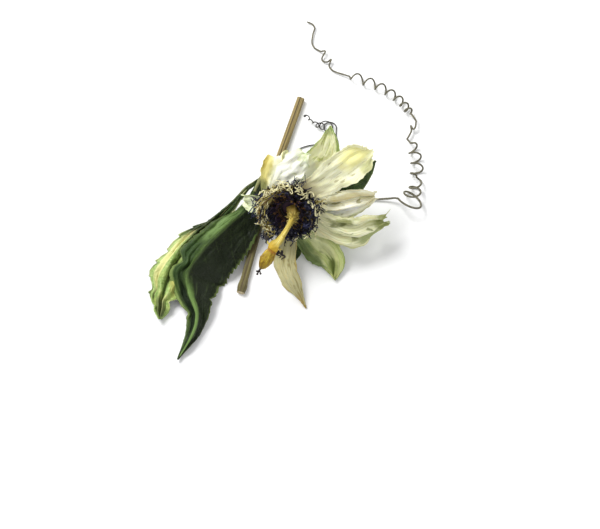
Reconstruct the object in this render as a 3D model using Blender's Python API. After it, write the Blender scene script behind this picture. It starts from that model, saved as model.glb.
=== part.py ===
# A dried passion flower on its piece of vine, laid down on a flat surface.
# Lengths are millimetres until make_node turns them into metres. +Z is up.
# The flat strip under the vine lies at z = 0 and holds the origin.
import math

import bpy
import numpy as np

# ---------------------------------------------------------------- driving sizes
BLADE_THICK = 0.6
SEAT_GAP = 0.3

VINE_TOP = (10.6, 32.6)
VINE_KNEE = (1.03, 4.0)
VINE_FOOT = (-9.3, -36.2)
VINE_RADIUS = 1.3
VINE_SIDES = 12
FLAT_HALF_DEG = 25.0
LEAF_NODE_Y = VINE_KNEE[1]
SMALL_TENDRIL_Y = 9.5

BLOOM_CENTRE = (7.0, -11.7, 16.0)
LEAN_DEG = 20.0
BLOOM_AXIS = (-0.2, -0.42, 0.885)
CUP_RADIUS = 4.6

OUTER_FILAMENTS = 44
INNER_FILAMENTS = 22
FILAMENT_RADIUS = 0.33
OUTER_REACH = (11.4, 13.4)
INNER_REACH = (5.8, 7.2)

TENDRIL_RADIUS = 0.38
SMALL_TENDRIL_RADIUS = 0.3
COIL_RADIUS = 1.55

SEED = 11


# ---------------------------------------------------------------- frames
lean = math.radians(LEAN_DEG)
RIGHT = np.array([1.0, 0.0, 0.0])
UP = np.array([0.0, math.cos(lean), math.sin(lean)])
OUT = np.array([0.0, -math.sin(lean), math.cos(lean)])
CENTRE = np.array(BLOOM_CENTRE)


def unit(vector):
    vector = np.asarray(vector, float)
    return vector / np.linalg.norm(vector, axis=-1, keepdims=True)


axis_lean = unit(BLOOM_AXIS)
BLOOM_N = axis_lean[0] * RIGHT + axis_lean[1] * UP + axis_lean[2] * OUT
BLOOM_X = unit(RIGHT - RIGHT.dot(BLOOM_N) * BLOOM_N)
BLOOM_Y = np.cross(BLOOM_N, BLOOM_X)


def lean_point(point):
    """A point given as (right, up the lean, out of the lean) from the bloom's centre."""
    return CENTRE + point[0] * RIGHT + point[1] * UP + point[2] * OUT


def bloom_point(radius, turn_deg, height):
    """A point given in the bloom's own round frame."""
    turn = np.radians(turn_deg)
    across = np.multiply.outer(np.cos(turn) * radius, BLOOM_X)
    along = np.multiply.outer(np.sin(turn) * radius, BLOOM_Y)
    return CENTRE + across + along + np.multiply.outer(height, BLOOM_N)


# ---------------------------------------------------------------- curves
def through(points, count):
    """Smooth curve through the points, evenly spaced along its length."""
    points = np.asarray(points, float)
    before = 2 * points[0] - points[1]
    after = 2 * points[-1] - points[-2]
    padded = np.vstack([before, points, after])
    dense = []
    for i in range(len(points) - 1):
        p0, p1, p2, p3 = padded[i:i + 4]
        t = np.linspace(0.0, 1.0, 40, endpoint=False)[:, None]
        dense.append(0.5 * (2 * p1 + (p2 - p0) * t + (2 * p0 - 5 * p1 + 4 * p2 - p3) * t**2
                            + (3 * p1 - p0 - 3 * p2 + p3) * t**3))
    dense = np.vstack(dense + [points[-1:]])
    return respace(dense, count)


def respace(dense, count):
    steps = np.linalg.norm(np.diff(dense, axis=0), axis=1)
    run = np.concatenate([[0.0], np.cumsum(steps)])
    wanted = np.linspace(0.0, run[-1], count)
    return np.stack([np.interp(wanted, run, dense[:, k]) for k in range(3)], axis=1)


def ramp(value, low, high):
    share = np.clip((value - low) / (high - low), 0.0, 1.0)
    return share * share * (3 - 2 * share)


# ---------------------------------------------------------------- blades
def width_along(u, spec):
    """Half width: grows from the base to the widest place, then closes to the tip."""
    widest = spec.get("widest", 0.5)
    root = spec.get("root", 0.45)
    opening = root + (1 - root) * np.sin(0.5 * math.pi * np.clip(u / widest, 0, 1) ** spec.get("late", 1.0))
    past = np.clip((u - widest) / (1 - widest), 0, 1)
    closing = (1 - past ** spec.get("blunt", 2.0)) ** spec.get("round", 0.8)
    return np.maximum(spec["half"] * opening * closing, spec.get("tip", 0.45))


def blade_grid(spec, rows, cols):
    """Mid-surface of a petal or leaf lobe: a section swept along the middle line.

    The section stands square to the line where "square" is 1, and keeps its own heading where it is 0.
    The left half, as seen along the line, is the one with v above 0.
    """
    line = through(spec["line"], rows + 1)
    tangent = unit(np.gradient(line, axis=0))
    side = np.asarray(spec["side"], float)
    across = unit(side - spec.get("square", 1.0) * (tangent @ side)[:, None] * tangent)
    up = unit(np.cross(tangent, across))
    u = np.linspace(0, 1, rows + 1)
    twist = np.radians(spec.get("twist0", 0) + (spec.get("twist1", 0) - spec.get("twist0", 0)) * u)
    across_t = across * np.cos(twist)[:, None] + up * np.sin(twist)[:, None]
    up_t = up * np.cos(twist)[:, None] - across * np.sin(twist)[:, None]
    v = np.linspace(-1, 1, cols + 1)
    uu, vv = np.meshgrid(u, v, indexing="ij")
    half = width_along(uu, spec) * np.where(vv < 0, spec.get("right_share", 1.0), 1.0)
    teeth = spec.get("teeth", 0)
    if teeth:
        saw = (uu * teeth + 0.5 * (vv < 0)) % 1.0
        half = half * (1 + spec["bite"] * (saw - 0.5) * np.abs(vv) ** 3)
    phase = spec.get("phase", 0.0)
    half = half * (1 + spec.get("ragged", 0.0) * np.sin(uu * 23 + 2.1 * np.sign(vv) + phase))
    bend = np.radians(spec.get("cup0", 0) + (spec.get("cup1", 0) - spec.get("cup0", 0)) * uu)
    bend = np.where(np.abs(bend) < 1e-3, 1e-3, bend)
    lateral = half * np.sin(bend * vv) / bend
    height = half * (1 - np.cos(bend * vv)) / bend
    ease = ramp(uu, 0.08, spec.get("ease", 0.45))
    height = height + spec.get("pleat", 0) * ease * np.sin(spec.get("pleats", 3) * math.pi * vv + phase)
    ruffle = np.sin(2 * math.pi * spec.get("waves", 2.5) * uu + phase + 1.3 * vv)
    height = height + spec.get("ruffle", 0) * ease * vv * vv * ruffle
    rumple = (np.sin(3.1 * math.pi * uu + 1.7 * math.pi * vv + phase)
              + 0.6 * np.sin(5.3 * math.pi * uu - 2.6 * math.pi * vv + 2.3 * phase)
              + 0.4 * np.sin(8.1 * math.pi * uu + 3.3 * math.pi * vv - phase))
    height = height + 0.6 * spec.get("crumple", 0) * ease * rumple
    fold_left = np.interp(uu, (0, 1), spec.get("fold_left", (0, 0)))
    fold_right = np.interp(uu, (0, 1), spec.get("fold_right", (0, 0)))
    fold = np.radians(np.where(vv > 0, fold_left, fold_right)) * ramp(uu, 0.0, 0.15)
    height = height - np.abs(lateral) * np.sin(fold)
    lateral = lateral * np.cos(fold)
    pulled = spec.get("split", 0) * ramp(uu, 0.7, 1.0) * (1 - np.abs(vv)) * (1 + 0.25 * vv)
    grid = line[:, None, :] + lateral[..., None] * across_t[:, None, :] + height[..., None] * up_t[:, None, :]
    return grid - pulled[..., None] * tangent[:, None, :]


def blade_mesh(grid, thick=BLADE_THICK, floor=True):
    """Closed blade: the mid-surface moved half its thickness to each side."""
    if floor:
        grid = grid.copy()
        grid[..., 2] = np.maximum(grid[..., 2], thick / 2)
    du = np.gradient(grid, axis=0)
    dv = np.gradient(grid, axis=1)
    normal = unit(np.cross(du, dv))
    top = grid + normal * thick / 2
    low = grid - normal * thick / 2
    if floor:
        low[..., 2] = np.maximum(low[..., 2], 0.0)
        top[..., 2] = np.maximum(top[..., 2], 0.0)
    rows, cols = grid.shape[:2]
    count = rows * cols
    index = np.arange(count).reshape(rows, cols)
    a, b = index[:-1, :-1].ravel(), index[1:, :-1].ravel()
    c, d = index[1:, 1:].ravel(), index[:-1, 1:].ravel()
    upper = np.vstack([np.stack([a, b, c], 1), np.stack([a, c, d], 1)])
    lower = upper[:, ::-1] + count
    ring = np.concatenate([index[:-1, 0], index[-1, :-1], index[:0:-1, -1], index[0, :0:-1]])
    after = np.roll(ring, -1)
    skirt = np.vstack([np.stack([after, ring, ring + count], 1),
                       np.stack([after, ring + count, after + count], 1)])
    points = np.vstack([top.reshape(-1, 3), low.reshape(-1, 3)])
    return points, np.vstack([upper, lower, skirt])


# ---------------------------------------------------------------- round pieces
def tube_mesh(line, radius, sides, phase=0.0, hint=(0.31, 0.17, 0.93)):
    """Closed tube along a line, one radius a station, with a flat cap at both ends."""
    line = np.asarray(line, float)
    radius = np.broadcast_to(radius, len(line))
    tangent = unit(np.gradient(line, axis=0))
    frame = np.empty_like(line)
    frame[0] = unit(np.asarray(hint) - tangent[0].dot(hint) * tangent[0])
    for i in range(1, len(line)):
        carried = frame[i - 1] - tangent[i].dot(frame[i - 1]) * tangent[i]
        frame[i] = carried / np.linalg.norm(carried)
    other = np.cross(tangent, frame)
    turn = np.linspace(0, 2 * math.pi, sides, endpoint=False) + phase
    ring = np.cos(turn)[None, :, None] * frame[:, None, :] + np.sin(turn)[None, :, None] * other[:, None, :]
    points = line[:, None, :] + ring * radius[:, None, None]
    return loft_mesh(points)


def loft_mesh(points):
    """Closed solid from rings of points, fan caps round a middle point at both ends."""
    rings, sides = points.shape[:2]
    index = np.arange(rings * sides).reshape(rings, sides)
    beside = np.roll(index, -1, axis=1)
    a, b = index[:-1].ravel(), beside[:-1].ravel()
    c, d = beside[1:].ravel(), index[1:].ravel()
    wall = np.vstack([np.stack([a, b, c], 1), np.stack([a, c, d], 1)])
    first, last = rings * sides, rings * sides + 1
    cap0 = np.stack([np.full(sides, first), beside[0], index[0]], 1)
    cap1 = np.stack([np.full(sides, last), index[-1], beside[-1]], 1)
    middles = np.stack([points[0].mean(0), points[-1].mean(0)])
    return np.vstack([points.reshape(-1, 3), middles]), np.vstack([wall, cap0, cap1])


def turned_mesh(profile, origin, axis, sides, wobble=0.0):
    """Solid turned round an axis from (radius, height) pairs that end on the axis."""
    axis = unit(axis)
    helper = np.array([1.0, 0.0, 0.0]) if abs(axis[0]) < 0.8 else np.array([0.0, 1.0, 0.0])
    x = unit(np.cross(helper, axis))
    y = np.cross(axis, x)
    profile = np.asarray(profile, float)
    turn = np.linspace(0, 2 * math.pi, sides, endpoint=False)
    radius = profile[:, 0][:, None] * (1 + wobble * np.sin(3 * turn + 0.7))[None, :]
    points = (np.asarray(origin)[None, None, :] + radius[..., None] *
              (np.cos(turn)[None, :, None] * x + np.sin(turn)[None, :, None] * y)
              + profile[:, 1][:, None, None] * axis)
    return loft_mesh(points)


def ring_mesh(profile, sides):
    """Closed ring round the bloom's axis from a loop of (radius, height) pairs."""
    profile = np.asarray(profile, float)
    turn = np.linspace(0, 360, sides, endpoint=False)
    points = np.stack([bloom_point(np.full(sides, r), turn, np.full(sides, h)) for r, h in profile])
    count = len(profile)
    index = np.arange(count * sides).reshape(count, sides)
    below = np.roll(index, -1, axis=0)
    a, b = index.ravel(), np.roll(index, -1, axis=1).ravel()
    c, d = np.roll(below, -1, axis=1).ravel(), below.ravel()
    return points.reshape(-1, 3), np.vstack([np.stack([a, b, c], 1), np.stack([a, c, d], 1)])


# ---------------------------------------------------------------- nodes
def material(name, colour, roughness, metallic=0.0):
    made = bpy.data.materials.new(name)
    made.use_nodes = True
    shader = made.node_tree.nodes["Principled BSDF"]
    shader.inputs["Base Color"].default_value = (*colour, 1.0)
    shader.inputs["Roughness"].default_value = roughness
    shader.inputs["Metallic"].default_value = metallic
    made.diffuse_color = (*colour, 1.0)
    return made


def raw_object(name, solid, smooth=False):
    points, faces = solid
    mesh = bpy.data.meshes.new(name)
    mesh.from_pydata((np.asarray(points) * 0.001).tolist(), [], np.asarray(faces).tolist())
    mesh.validate()
    mesh.update()
    if smooth:
        mesh.polygons.foreach_set("use_smooth", [True] * len(mesh.polygons))
    made = bpy.data.objects.new(name, mesh)
    return made


def make_node(name, solid, colour, roughness=0.8, smooth=False):
    made = raw_object(name, solid, smooth)
    bpy.context.scene.collection.objects.link(made)
    made.data.materials.append(material(name, colour, roughness))
    return made


def fused_node(name, solids, colour, roughness=0.8, smooth=False):
    """One body: the first solid with all the others joined to it."""
    made = make_node(name, solids[0], colour, roughness, smooth)
    group = bpy.data.collections.new(name + "_repeats")
    bpy.context.scene.collection.children.link(group)
    for number, solid in enumerate(solids[1:]):
        group.objects.link(raw_object(f"{name}_repeat_{number}", solid))
    join = made.modifiers.new("join", "BOOLEAN")
    join.operation = "UNION"
    join.operand_type = "COLLECTION"
    join.collection = group
    join.solver = "MANIFOLD"
    view = bpy.context.evaluated_depsgraph_get()
    joined = bpy.data.meshes.new_from_object(made.evaluated_get(view))
    made.modifiers.clear()
    made.data = joined
    joined.name = name
    joined.materials.clear()
    joined.materials.append(bpy.data.materials[name])
    if smooth:
        joined.polygons.foreach_set("use_smooth", [True] * len(joined.polygons))
    for extra in list(group.objects):
        bpy.data.objects.remove(extra)
    bpy.data.collections.remove(group)
    return made


# ---------------------------------------------------------------- vine and stalk
def vine_point(y):
    """Where the vine's middle line lies across: two straight lengths that meet at the leaf's joint."""
    return np.interp(y, (VINE_FOOT[1], VINE_KNEE[1], VINE_TOP[1]), (VINE_FOOT[0], VINE_KNEE[0], VINE_TOP[0]))


def build_vine():
    """Ridged vine with a flat strip underneath and two swollen joints."""
    steps = [0, 1.2, 2.6, 4.5, 12, 22, 31, 35.5, 38.2, 40.2, 42.2, 44.5, 48, 58, 68.8]
    stations = VINE_FOOT[1] + np.array(steps)
    line = np.stack([vine_point(stations), stations, np.zeros(len(stations))], axis=1)
    along = unit(np.gradient(line, axis=0))
    side = np.cross(along, [0, 0, 1.0])
    low_joint = 0.28 * np.exp(-((stations - VINE_FOOT[1] - 2.2) / 1.6) ** 2)
    swell = 1 + low_joint + 0.35 * np.exp(-((stations - LEAF_NODE_Y) / 2.2) ** 2)
    turn = np.radians(np.linspace(-90 + FLAT_HALF_DEG, 270 - FLAT_HALF_DEG, VINE_SIDES))
    ridge = np.where(np.arange(VINE_SIDES) % 2 == 0, 1.0, 0.9)
    ridge[[0, VINE_SIDES - 1]] = 1.0
    centre_height = VINE_RADIUS * math.cos(math.radians(FLAT_HALF_DEG))
    radius = VINE_RADIUS * ridge[None, :] * swell[:, None]
    lateral = radius * np.cos(turn)
    height = np.maximum(centre_height + radius * np.sin(turn), 0.0)
    height[:, [0, VINE_SIDES - 1]] = 0.0
    raised = height[..., None] * np.array([0, 0, 1.0])
    points = line[:, None, :] + lateral[..., None] * side[:, None, :] + raised
    points, faces = loft_mesh(points)
    make_node("vine_stem", (points, faces[:, ::-1]), (0.30, 0.24, 0.09), 0.75)


def build_flower_stalk():
    start = np.array([vine_point(LEAF_NODE_Y) + 2.05, LEAF_NODE_Y - 0.6, 2.4])
    end = bloom_point(np.array(0.0), np.array(0.0), np.array(-5.9))
    line = through([start, start + [2.4, -1.6, 1.6], end - 3.4 * BLOOM_N, end], 9)
    make_node("flower_stalk", tube_mesh(line, np.linspace(0.85, 1.15, 9), 8), (0.36, 0.38, 0.14), 0.7, True)


def build_cup():
    """Shallow green cup that carries the tepals and the crown of filaments."""
    profile = [(0.6, -5.6), (1.5, -5.3), (3.0, -4.2), (4.0, -2.9), (CUP_RADIUS, -1.4), (CUP_RADIUS, -0.2),
               (3.9, 0.0), (0.4, 0.0)]
    make_node("floral_cup", turned_mesh(profile, CENTRE, BLOOM_N, 20), (0.35, 0.40, 0.16), 0.7, True)


# ---------------------------------------------------------------- tepals
CREAM = (0.83, 0.79, 0.56)
WHITE = (0.88, 0.87, 0.76)
GREENISH = (0.62, 0.68, 0.38)

TEPALS = {
    "petal_1": {
        "turn": -20, "face": -20, "line": [(12.5, -6.4, -1.5), (21.5, -8.4, -1.8), (33.0, -3.0, -4.2)],
        "half": 6.0, "widest": 0.62, "blunt": 2.6, "cup0": 10, "cup1": -16, "pleat": 0.5, "pleats": 3,
        "ruffle": 0.8, "waves": 2.2, "phase": 0.6, "twist1": 12, "tip": 2.6, "split": 3.4, "crumple": 0.5,
        "colour": CREAM},
    "sepal_1": {
        "turn": 16, "face": 13, "line": [(12, 0.2, -1.5), (20, 1.4, 0.3), (28.6, 4.2, -0.2)],
        "half": 4.8, "widest": 0.55, "blunt": 2.6, "cup0": -8, "cup1": 40, "pleat": 0.5, "pleats": 3,
        "ruffle": 0.5, "waves": 2.0, "phase": 2.0, "twist1": -15, "tip": 1.4, "split": 1.2, "crumple": 0.4,
        "colour": WHITE},
    "petal_2": {
        "turn": 52, "face": 40, "line": [(9.8, 7.4, 6.0), (17.4, 12.6, 9.0), (25.8, 18.0, 9.8)],
        "half": 5.8, "widest": 0.72, "blunt": 5.0, "round": 0.6, "cup0": 5, "cup1": 14, "pleat": 0.55,
        "pleats": 4, "ruffle": 0.6, "waves": 2.0, "phase": 0.2, "tip": 3.4, "split": -1.4, "crumple": 0.35,
        "colour": WHITE},
    "sepal_2": {
        "turn": 88, "face": 66, "line": [(6.2, 11, 0.9), (11.8, 18.4, 3.8), (13.2, 26.3, 8.0)],
        "half": 5.5, "widest": 0.56, "blunt": 1.9, "cup0": -10, "cup1": 50, "pleat": 0.2, "pleats": 2,
        "ruffle": 0.3, "waves": 1.5, "phase": 1.0, "twist1": 12, "crumple": 0.25, "colour": GREENISH},
    "petal_3": {
        "turn": 124, "face": 92, "line": [(-1.0, 10.8, 3.3), (4.0, 16.4, 6.6), (6.2, 17.2, 5.6)],
        "half": 4.4, "root": 0.36, "widest": 0.6, "blunt": 3.0, "cup0": 5, "cup1": -20, "pleat": 0.4,
        "pleats": 3, "ruffle": 0.5, "waves": 1.8, "phase": 3.0, "tip": 1.0, "crumple": 0.35, "colour": WHITE},
    "sepal_3": {
        "turn": 160, "face": 124, "line": [(-6.9, 8.8, -2.4), (-4.4, 16.3, -0.6), (-2.0, 14, -4.9)],
        "half": 4.8, "widest": 0.55, "blunt": 3.0, "cup0": -8, "cup1": 15, "pleat": 0.3, "pleats": 2,
        "ruffle": 0.5, "waves": 1.5, "phase": 0.5, "tip": 1.6, "crumple": 0.3, "colour": CREAM},
    "petal_4": {
        "turn": 196, "face": 182, "line": [(-11, 1.2, -2.6), (-14.8, 2.2, -4.0), (-14.0, 2.6, -6.6)],
        "half": 3.4, "widest": 0.5, "blunt": 2.2, "cup0": 5, "cup1": 40, "pleat": 0.3, "pleats": 2,
        "ruffle": 0.4, "waves": 1.6, "phase": 2.5, "crumple": 0.2, "colour": GREENISH},
    "sepal_4": {
        "turn": 230, "face": 222, "line": [(-6.0, -5.5, -7.3), (-7.0, -6.0, -9.2), (-5.8, -5.2, -11.0)],
        "half": 3.0, "widest": 0.5, "blunt": 1.8, "cup0": 10, "cup1": 40, "pleat": 0.3, "pleats": 2,
        "ruffle": 0.4, "waves": 1.5, "phase": 1.1, "crumple": 0.2, "colour": GREENISH},
    "petal_5": {
        "turn": 268, "face": 268, "line": [(-1.4, -12, -6.8), (-1.2, -21, -6.0), (5.2, -32.8, -4.7)],
        "half": 4.1, "widest": 0.42, "blunt": 1.7, "cup0": 5, "cup1": -35, "pleat": 0.3, "pleats": 2,
        "ruffle": 0.35, "waves": 2.0, "phase": 0.4, "twist1": 25, "crumple": 0.2, "colour": CREAM},
    "sepal_5": {
        "turn": 304, "face": 308, "line": [(7.2, -10.5, -7.4), (13.6, -16.8, -8.0), (15.0, -23.4, -7.6)],
        "half": 5.7, "widest": 0.55, "blunt": 2.0, "cup0": -5, "cup1": 12, "pleat": 0.3, "pleats": 2,
        "ruffle": 0.6, "waves": 1.8, "phase": 4.0, "twist1": -14, "crumple": 0.35, "colour": GREENISH},
}


def tepal_spec(name):
    """Adds the seat on the cup: petals sit on the upper step, sepals on the lower one."""
    spec = dict(TEPALS[name])
    layer = -0.75 if name.startswith("petal") else -2.15
    face = math.radians(spec["face"])
    seat = CUP_RADIUS + SEAT_GAP - (0.0 if name.startswith("petal") else 0.25)
    first = bloom_point(np.array(seat), np.array(spec["turn"]), np.array(layer))
    second = bloom_point(np.array(seat + 3.0), np.array(spec["turn"]), np.array(layer + 0.1))
    spec["line"] = [first, second] + [lean_point(p) for p in spec["line"]]
    spec["side"] = -math.sin(face) * BLOOM_X + math.cos(face) * BLOOM_Y
    spec.setdefault("root", 0.42)
    spec.setdefault("ragged", 0.03)
    return spec


def build_tepals():
    for name in TEPALS:
        spec = tepal_spec(name)
        make_node(name, blade_mesh(blade_grid(spec, 14, 6)), spec["colour"], 0.8)


BRACTS = {
    "bract_1": {
        "turn": 40, "half": 4.2, "line": [(12, 5.4, -4.6), (21.5, 8.6, -3.4), (28.2, 15.4, -0.6)]},
    "bract_2": {
        "turn": -80, "half": 3.3, "line": [(1.8, -9.3, -10.3), (1.4, -15.3, -10.5), (-0.2, -20.0, -9.6)]},
    "bract_3": {
        "turn": 160, "half": 3.6, "line": [(-4, 4.5, -8.0), (-7.0, 7.0, -9.0), (-8.6, 9.0, -10.2)]},
}


def bract_spec(name):
    spec = dict(BRACTS[name])
    turn = math.radians(spec["turn"])
    first = bloom_point(np.array(1.62), np.array(spec["turn"]), np.array(-6.1))
    second = bloom_point(np.array(4.2), np.array(spec["turn"]), np.array(-5.9))
    spec["line"] = [first, second] + [lean_point(p) for p in spec["line"]]
    spec["side"] = -math.sin(turn) * BLOOM_X + math.cos(turn) * BLOOM_Y
    spec.update({"root": 0.3, "widest": 0.5, "blunt": 1.8, "cup0": 20, "cup1": 40, "ruffle": 0.4,
                 "waves": 2.0, "phase": 0.7, "ragged": 0.03})
    return spec


def build_bracts():
    for name in BRACTS:
        grid = blade_grid(bract_spec(name), 11, 5)
        make_node(name, blade_mesh(grid), (0.10, 0.17, 0.06), 0.8)


# ---------------------------------------------------------------- crown of filaments
def filament_line(rng, turn_deg, start, end, rise0, rise1, curl, steps, bow=1.4):
    """Crimped thread: goes outward while it waves sideways and up, and its tip curls over."""
    share = np.linspace(0, 1, steps)
    radius = start + (end - start) * share
    loose = ramp(share, 0.15, 0.7)
    sway = curl * loose * np.sin(2 * math.pi * (2.3 * share + rng.random()))
    lift = 0.8 * curl * loose * np.sin(2 * math.pi * (1.9 * share + rng.random()))
    height = rise0 + (rise1 - rise0) * share**bow + lift
    turn = turn_deg + np.degrees(sway / np.maximum(radius, 1.0))
    radius = radius - 1.1 * curl * ramp(share, 0.82, 1.0)
    turn = np.radians(turn)
    return (CENTRE + (radius * np.cos(turn))[:, None] * BLOOM_X + (radius * np.sin(turn))[:, None] * BLOOM_Y
            + height[:, None] * BLOOM_N)


def build_crown():
    rng = np.random.default_rng(SEED)
    ring = ring_mesh([(3.9, 0.3), (4.9, 0.3), (5.2, 0.8), (4.8, 1.3), (3.9, 1.2)], 20)
    outer = [ring]
    for i in range(OUTER_FILAMENTS):
        turn = 360.0 * (i + 0.5 * rng.random()) / OUTER_FILAMENTS
        end = OUTER_REACH[0] + (OUTER_REACH[1] - OUTER_REACH[0]) * rng.random()
        line = filament_line(rng, turn, 4.4, end, 0.85, 3.1 + 1.2 * (i % 2), 0.55, 8)
        outer.append(tube_mesh(line, np.linspace(1.1, 0.9, 8) * FILAMENT_RADIUS, 3))
    fused_node("corona_outer", outer, (0.05, 0.05, 0.16), 0.7)
    ring = ring_mesh([(2.5, 0.3), (3.5, 0.3), (3.6, 0.9), (3.3, 1.3), (2.5, 1.2)], 16)
    inner = [ring]
    for i in range(INNER_FILAMENTS):
        turn = 360.0 * (i + 0.4 * rng.random()) / INNER_FILAMENTS
        end = INNER_REACH[0] + (INNER_REACH[1] - INNER_REACH[0]) * rng.random()
        line = filament_line(rng, turn, 3.0, end, 0.8, 6.4, 0.35, 6, 0.95)
        inner.append(tube_mesh(line, np.linspace(1.1, 0.9, 6) * FILAMENT_RADIUS, 3))
    fused_node("corona_inner", inner, (0.035, 0.02, 0.06), 0.7)


# ---------------------------------------------------------------- column, ovary, stamens
COLUMN_LINE = [(0.1, -0.3, 0.4), (-0.2, -1.6, 2.9), (-1.0, -6.0, 6.2), (-3.6, -11.0, 8.6)]
KNOB = (-4.9, -12.6, 8.9)
OVARY_BASE = (-5.72, -13.92, 9.0)
OVARY_TIP = (-9.7, -20.2, 8.6)

STAMENS = {
    1: [(-4.6, -13.0, 8.3), (-3.7, -13.7, 8.2), (-3.0, -13.9, 7.4)],
    2: [(-5.2, -13.0, 7.8), (-5.8, -14.2, 6.0), (-6.4, -15.2, 5.2)],
    3: [(-5.6, -12.2, 8.6), (-7.0, -11.9, 7.4), (-7.3, -11.2, 6.2)],
    4: [(-4.4, -12.0, 8.0), (-3.8, -10.8, 6.2), (-3.5, -9.7, 5.0)],
    5: [(-4.8, -12.8, 7.8), (-4.4, -13.2, 6.4), (-4.2, -13.6, 5.6)],
}
ANTHERS = {
    1: [(-2.7, -14.12, 7.15), (-2.0, -17.4, 6.6)],
    2: [(-6.53, -15.58, 5.07), (-7.9, -18.4, 4.6)],
    3: [(-7.43, -10.92, 5.92), (-8.4, -8.2, 5.2)],
    4: [(-3.42, -9.38, 4.73), (-2.6, -6.8, 3.7)],
    5: [(-4.13, -13.98, 5.48), (-3.5, -16.6, 4.4)],
}


def build_column():
    """Column that lifts the ovary, its flared foot, the knob and five thread stalks."""
    line = through([lean_point(p) for p in COLUMN_LINE], 10)
    share = np.linspace(0, 1, 10)
    radius = 0.95 + 1.0 * np.exp(-(share / 0.16) ** 2) + 0.25 * share
    solids = [tube_mesh(line, radius, 10)]
    direction = unit(lean_point(OVARY_TIP) - lean_point(OVARY_BASE))
    knob = [(0.5, -2.0), (1.3, -1.5), (1.85, -0.5), (1.8, 0.5), (1.2, 1.2), (0.4, 1.35)]
    solids.append(turned_mesh(knob, lean_point(KNOB), direction, 10, 0.1))
    for points in STAMENS.values():
        path = through([lean_point(p) for p in points], 6)
        solids.append(tube_mesh(path, np.linspace(0.5, 0.34, 6), 5))
    fused_node("column", solids, (0.62, 0.47, 0.13), 0.6, True)


def build_ovary():
    base, tip = lean_point(OVARY_BASE), lean_point(OVARY_TIP)
    length = np.linalg.norm(tip - base)
    share = np.array([0.0, 0.08, 0.2, 0.36, 0.55, 0.72, 0.86, 0.96, 1.0])
    radius = np.array([0.8, 1.35, 1.85, 2.25, 2.3, 2.0, 1.45, 0.8, 0.35])
    profile = np.stack([radius, share * length], 1)
    make_node("ovary", turned_mesh(profile, base, tip - base, 12, 0.03), (0.72, 0.42, 0.07), 0.5, True)


def build_styles():
    """Three withered dark threads with knobbed ends, joined where they leave the ovary."""
    tip = np.array(OVARY_TIP) + (-0.2, -0.33, -0.05)
    ends = [(-1.9, -1.3, 0.3), (0.2, -2.4, -0.3), (-1.6, -2.6, -1.5)]
    solids = [turned_mesh([(0.3, -0.1), (0.7, 0.15), (0.65, 0.6), (0.3, 0.8)], lean_point(tip),
                          lean_point(OVARY_TIP) - lean_point(OVARY_BASE), 8)]
    for end in ends:
        end = np.array(end)
        path = through([lean_point(tip + (-0.15, -0.25, 0)), lean_point(tip + 0.6 * end + (0, 0, 0.35)),
                        lean_point(tip + end)], 5)
        solids.append(tube_mesh(path, np.array([0.34, 0.32, 0.32, 0.45, 0.5]), 5))
    fused_node("styles", solids, (0.07, 0.05, 0.03), 0.7, True)


def build_anthers():
    for number, (head, foot) in ANTHERS.items():
        line = through([lean_point(head), lean_point(foot)], 6)
        radius = np.array([0.3, 0.62, 0.7, 0.66, 0.55, 0.3])
        make_node(f"anther_{number}", tube_mesh(line, radius, 7), (0.10, 0.08, 0.05), 0.8, True)


# ---------------------------------------------------------------- leaf
LEAF_BASE = (-2.8, 2.6, 4.6)
MAIN_LOBE = {
    "line": [LEAF_BASE, (-7.1, -8.7, 7.5), (-14.1, -17.1, 10.5), (-20.7, -24.1, 11.2), (-26.2, -31.8, 10.0),
             (-25.8, -38.4, 8.0), (-23.6, -45.2, 6.0), (-24.8, -51.2, 3.6), (-29.9, -59.5, 1.0)],
    "side": (0.92, -0.39, 0.0), "half": 15.0, "widest": 0.6, "root": 0.12, "blunt": 1.6, "round": 0.9,
    "square": 0.5, "right_share": 0.55, "fold_left": (36, 48), "fold_right": (6, 48), "teeth": 20,
    "bite": 0.1, "ruffle": 0.9, "waves": 4.2, "phase": 0.8, "ease": 0.3, "crumple": 0.4,
}
SIDE_LOBE = {
    "line": [LEAF_BASE, (-7.5, -1.2, 5.6), (-12.6, -7.4, 6.2), (-19.8, -15.2, 6.0), (-26.8, -23.0, 5.6),
             (-32.6, -31.5, 4.9), (-35.2, -39.0, 3.4), (-35.6, -45.4, 1.0)],
    "side": (0.85, -0.53, 0.0), "half": 8.4, "widest": 0.72, "root": 0.16, "late": 1.8, "blunt": 2.4,
    "round": 0.9, "fold_left": (24, 24), "fold_right": (30, 30), "teeth": 12, "bite": 0.16,
    "ruffle": 1.2, "waves": 4.0, "phase": 2.2, "ease": 0.5, "crumple": 0.6,
}


def build_leaf():
    """Palmate leaf, folded along its ribs like a tent, with its stalk."""
    solids = [blade_mesh(blade_grid(MAIN_LOBE, 44, 6))]
    solids.append(blade_mesh(blade_grid(SIDE_LOBE, 32, 4)))
    x = vine_point(LEAF_NODE_Y)
    stalk = through([(x - 2.0, LEAF_NODE_Y + 0.1, 2.3), (x - 2.9, LEAF_NODE_Y - 0.5, 3.6), LEAF_BASE,
                     (-4.8, -2.4, 5.8)], 8)
    solids.append(tube_mesh(stalk, np.linspace(0.75, 0.55, 8), 6))
    fused_node("leaf", solids, (0.07, 0.14, 0.06), 0.8)


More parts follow.
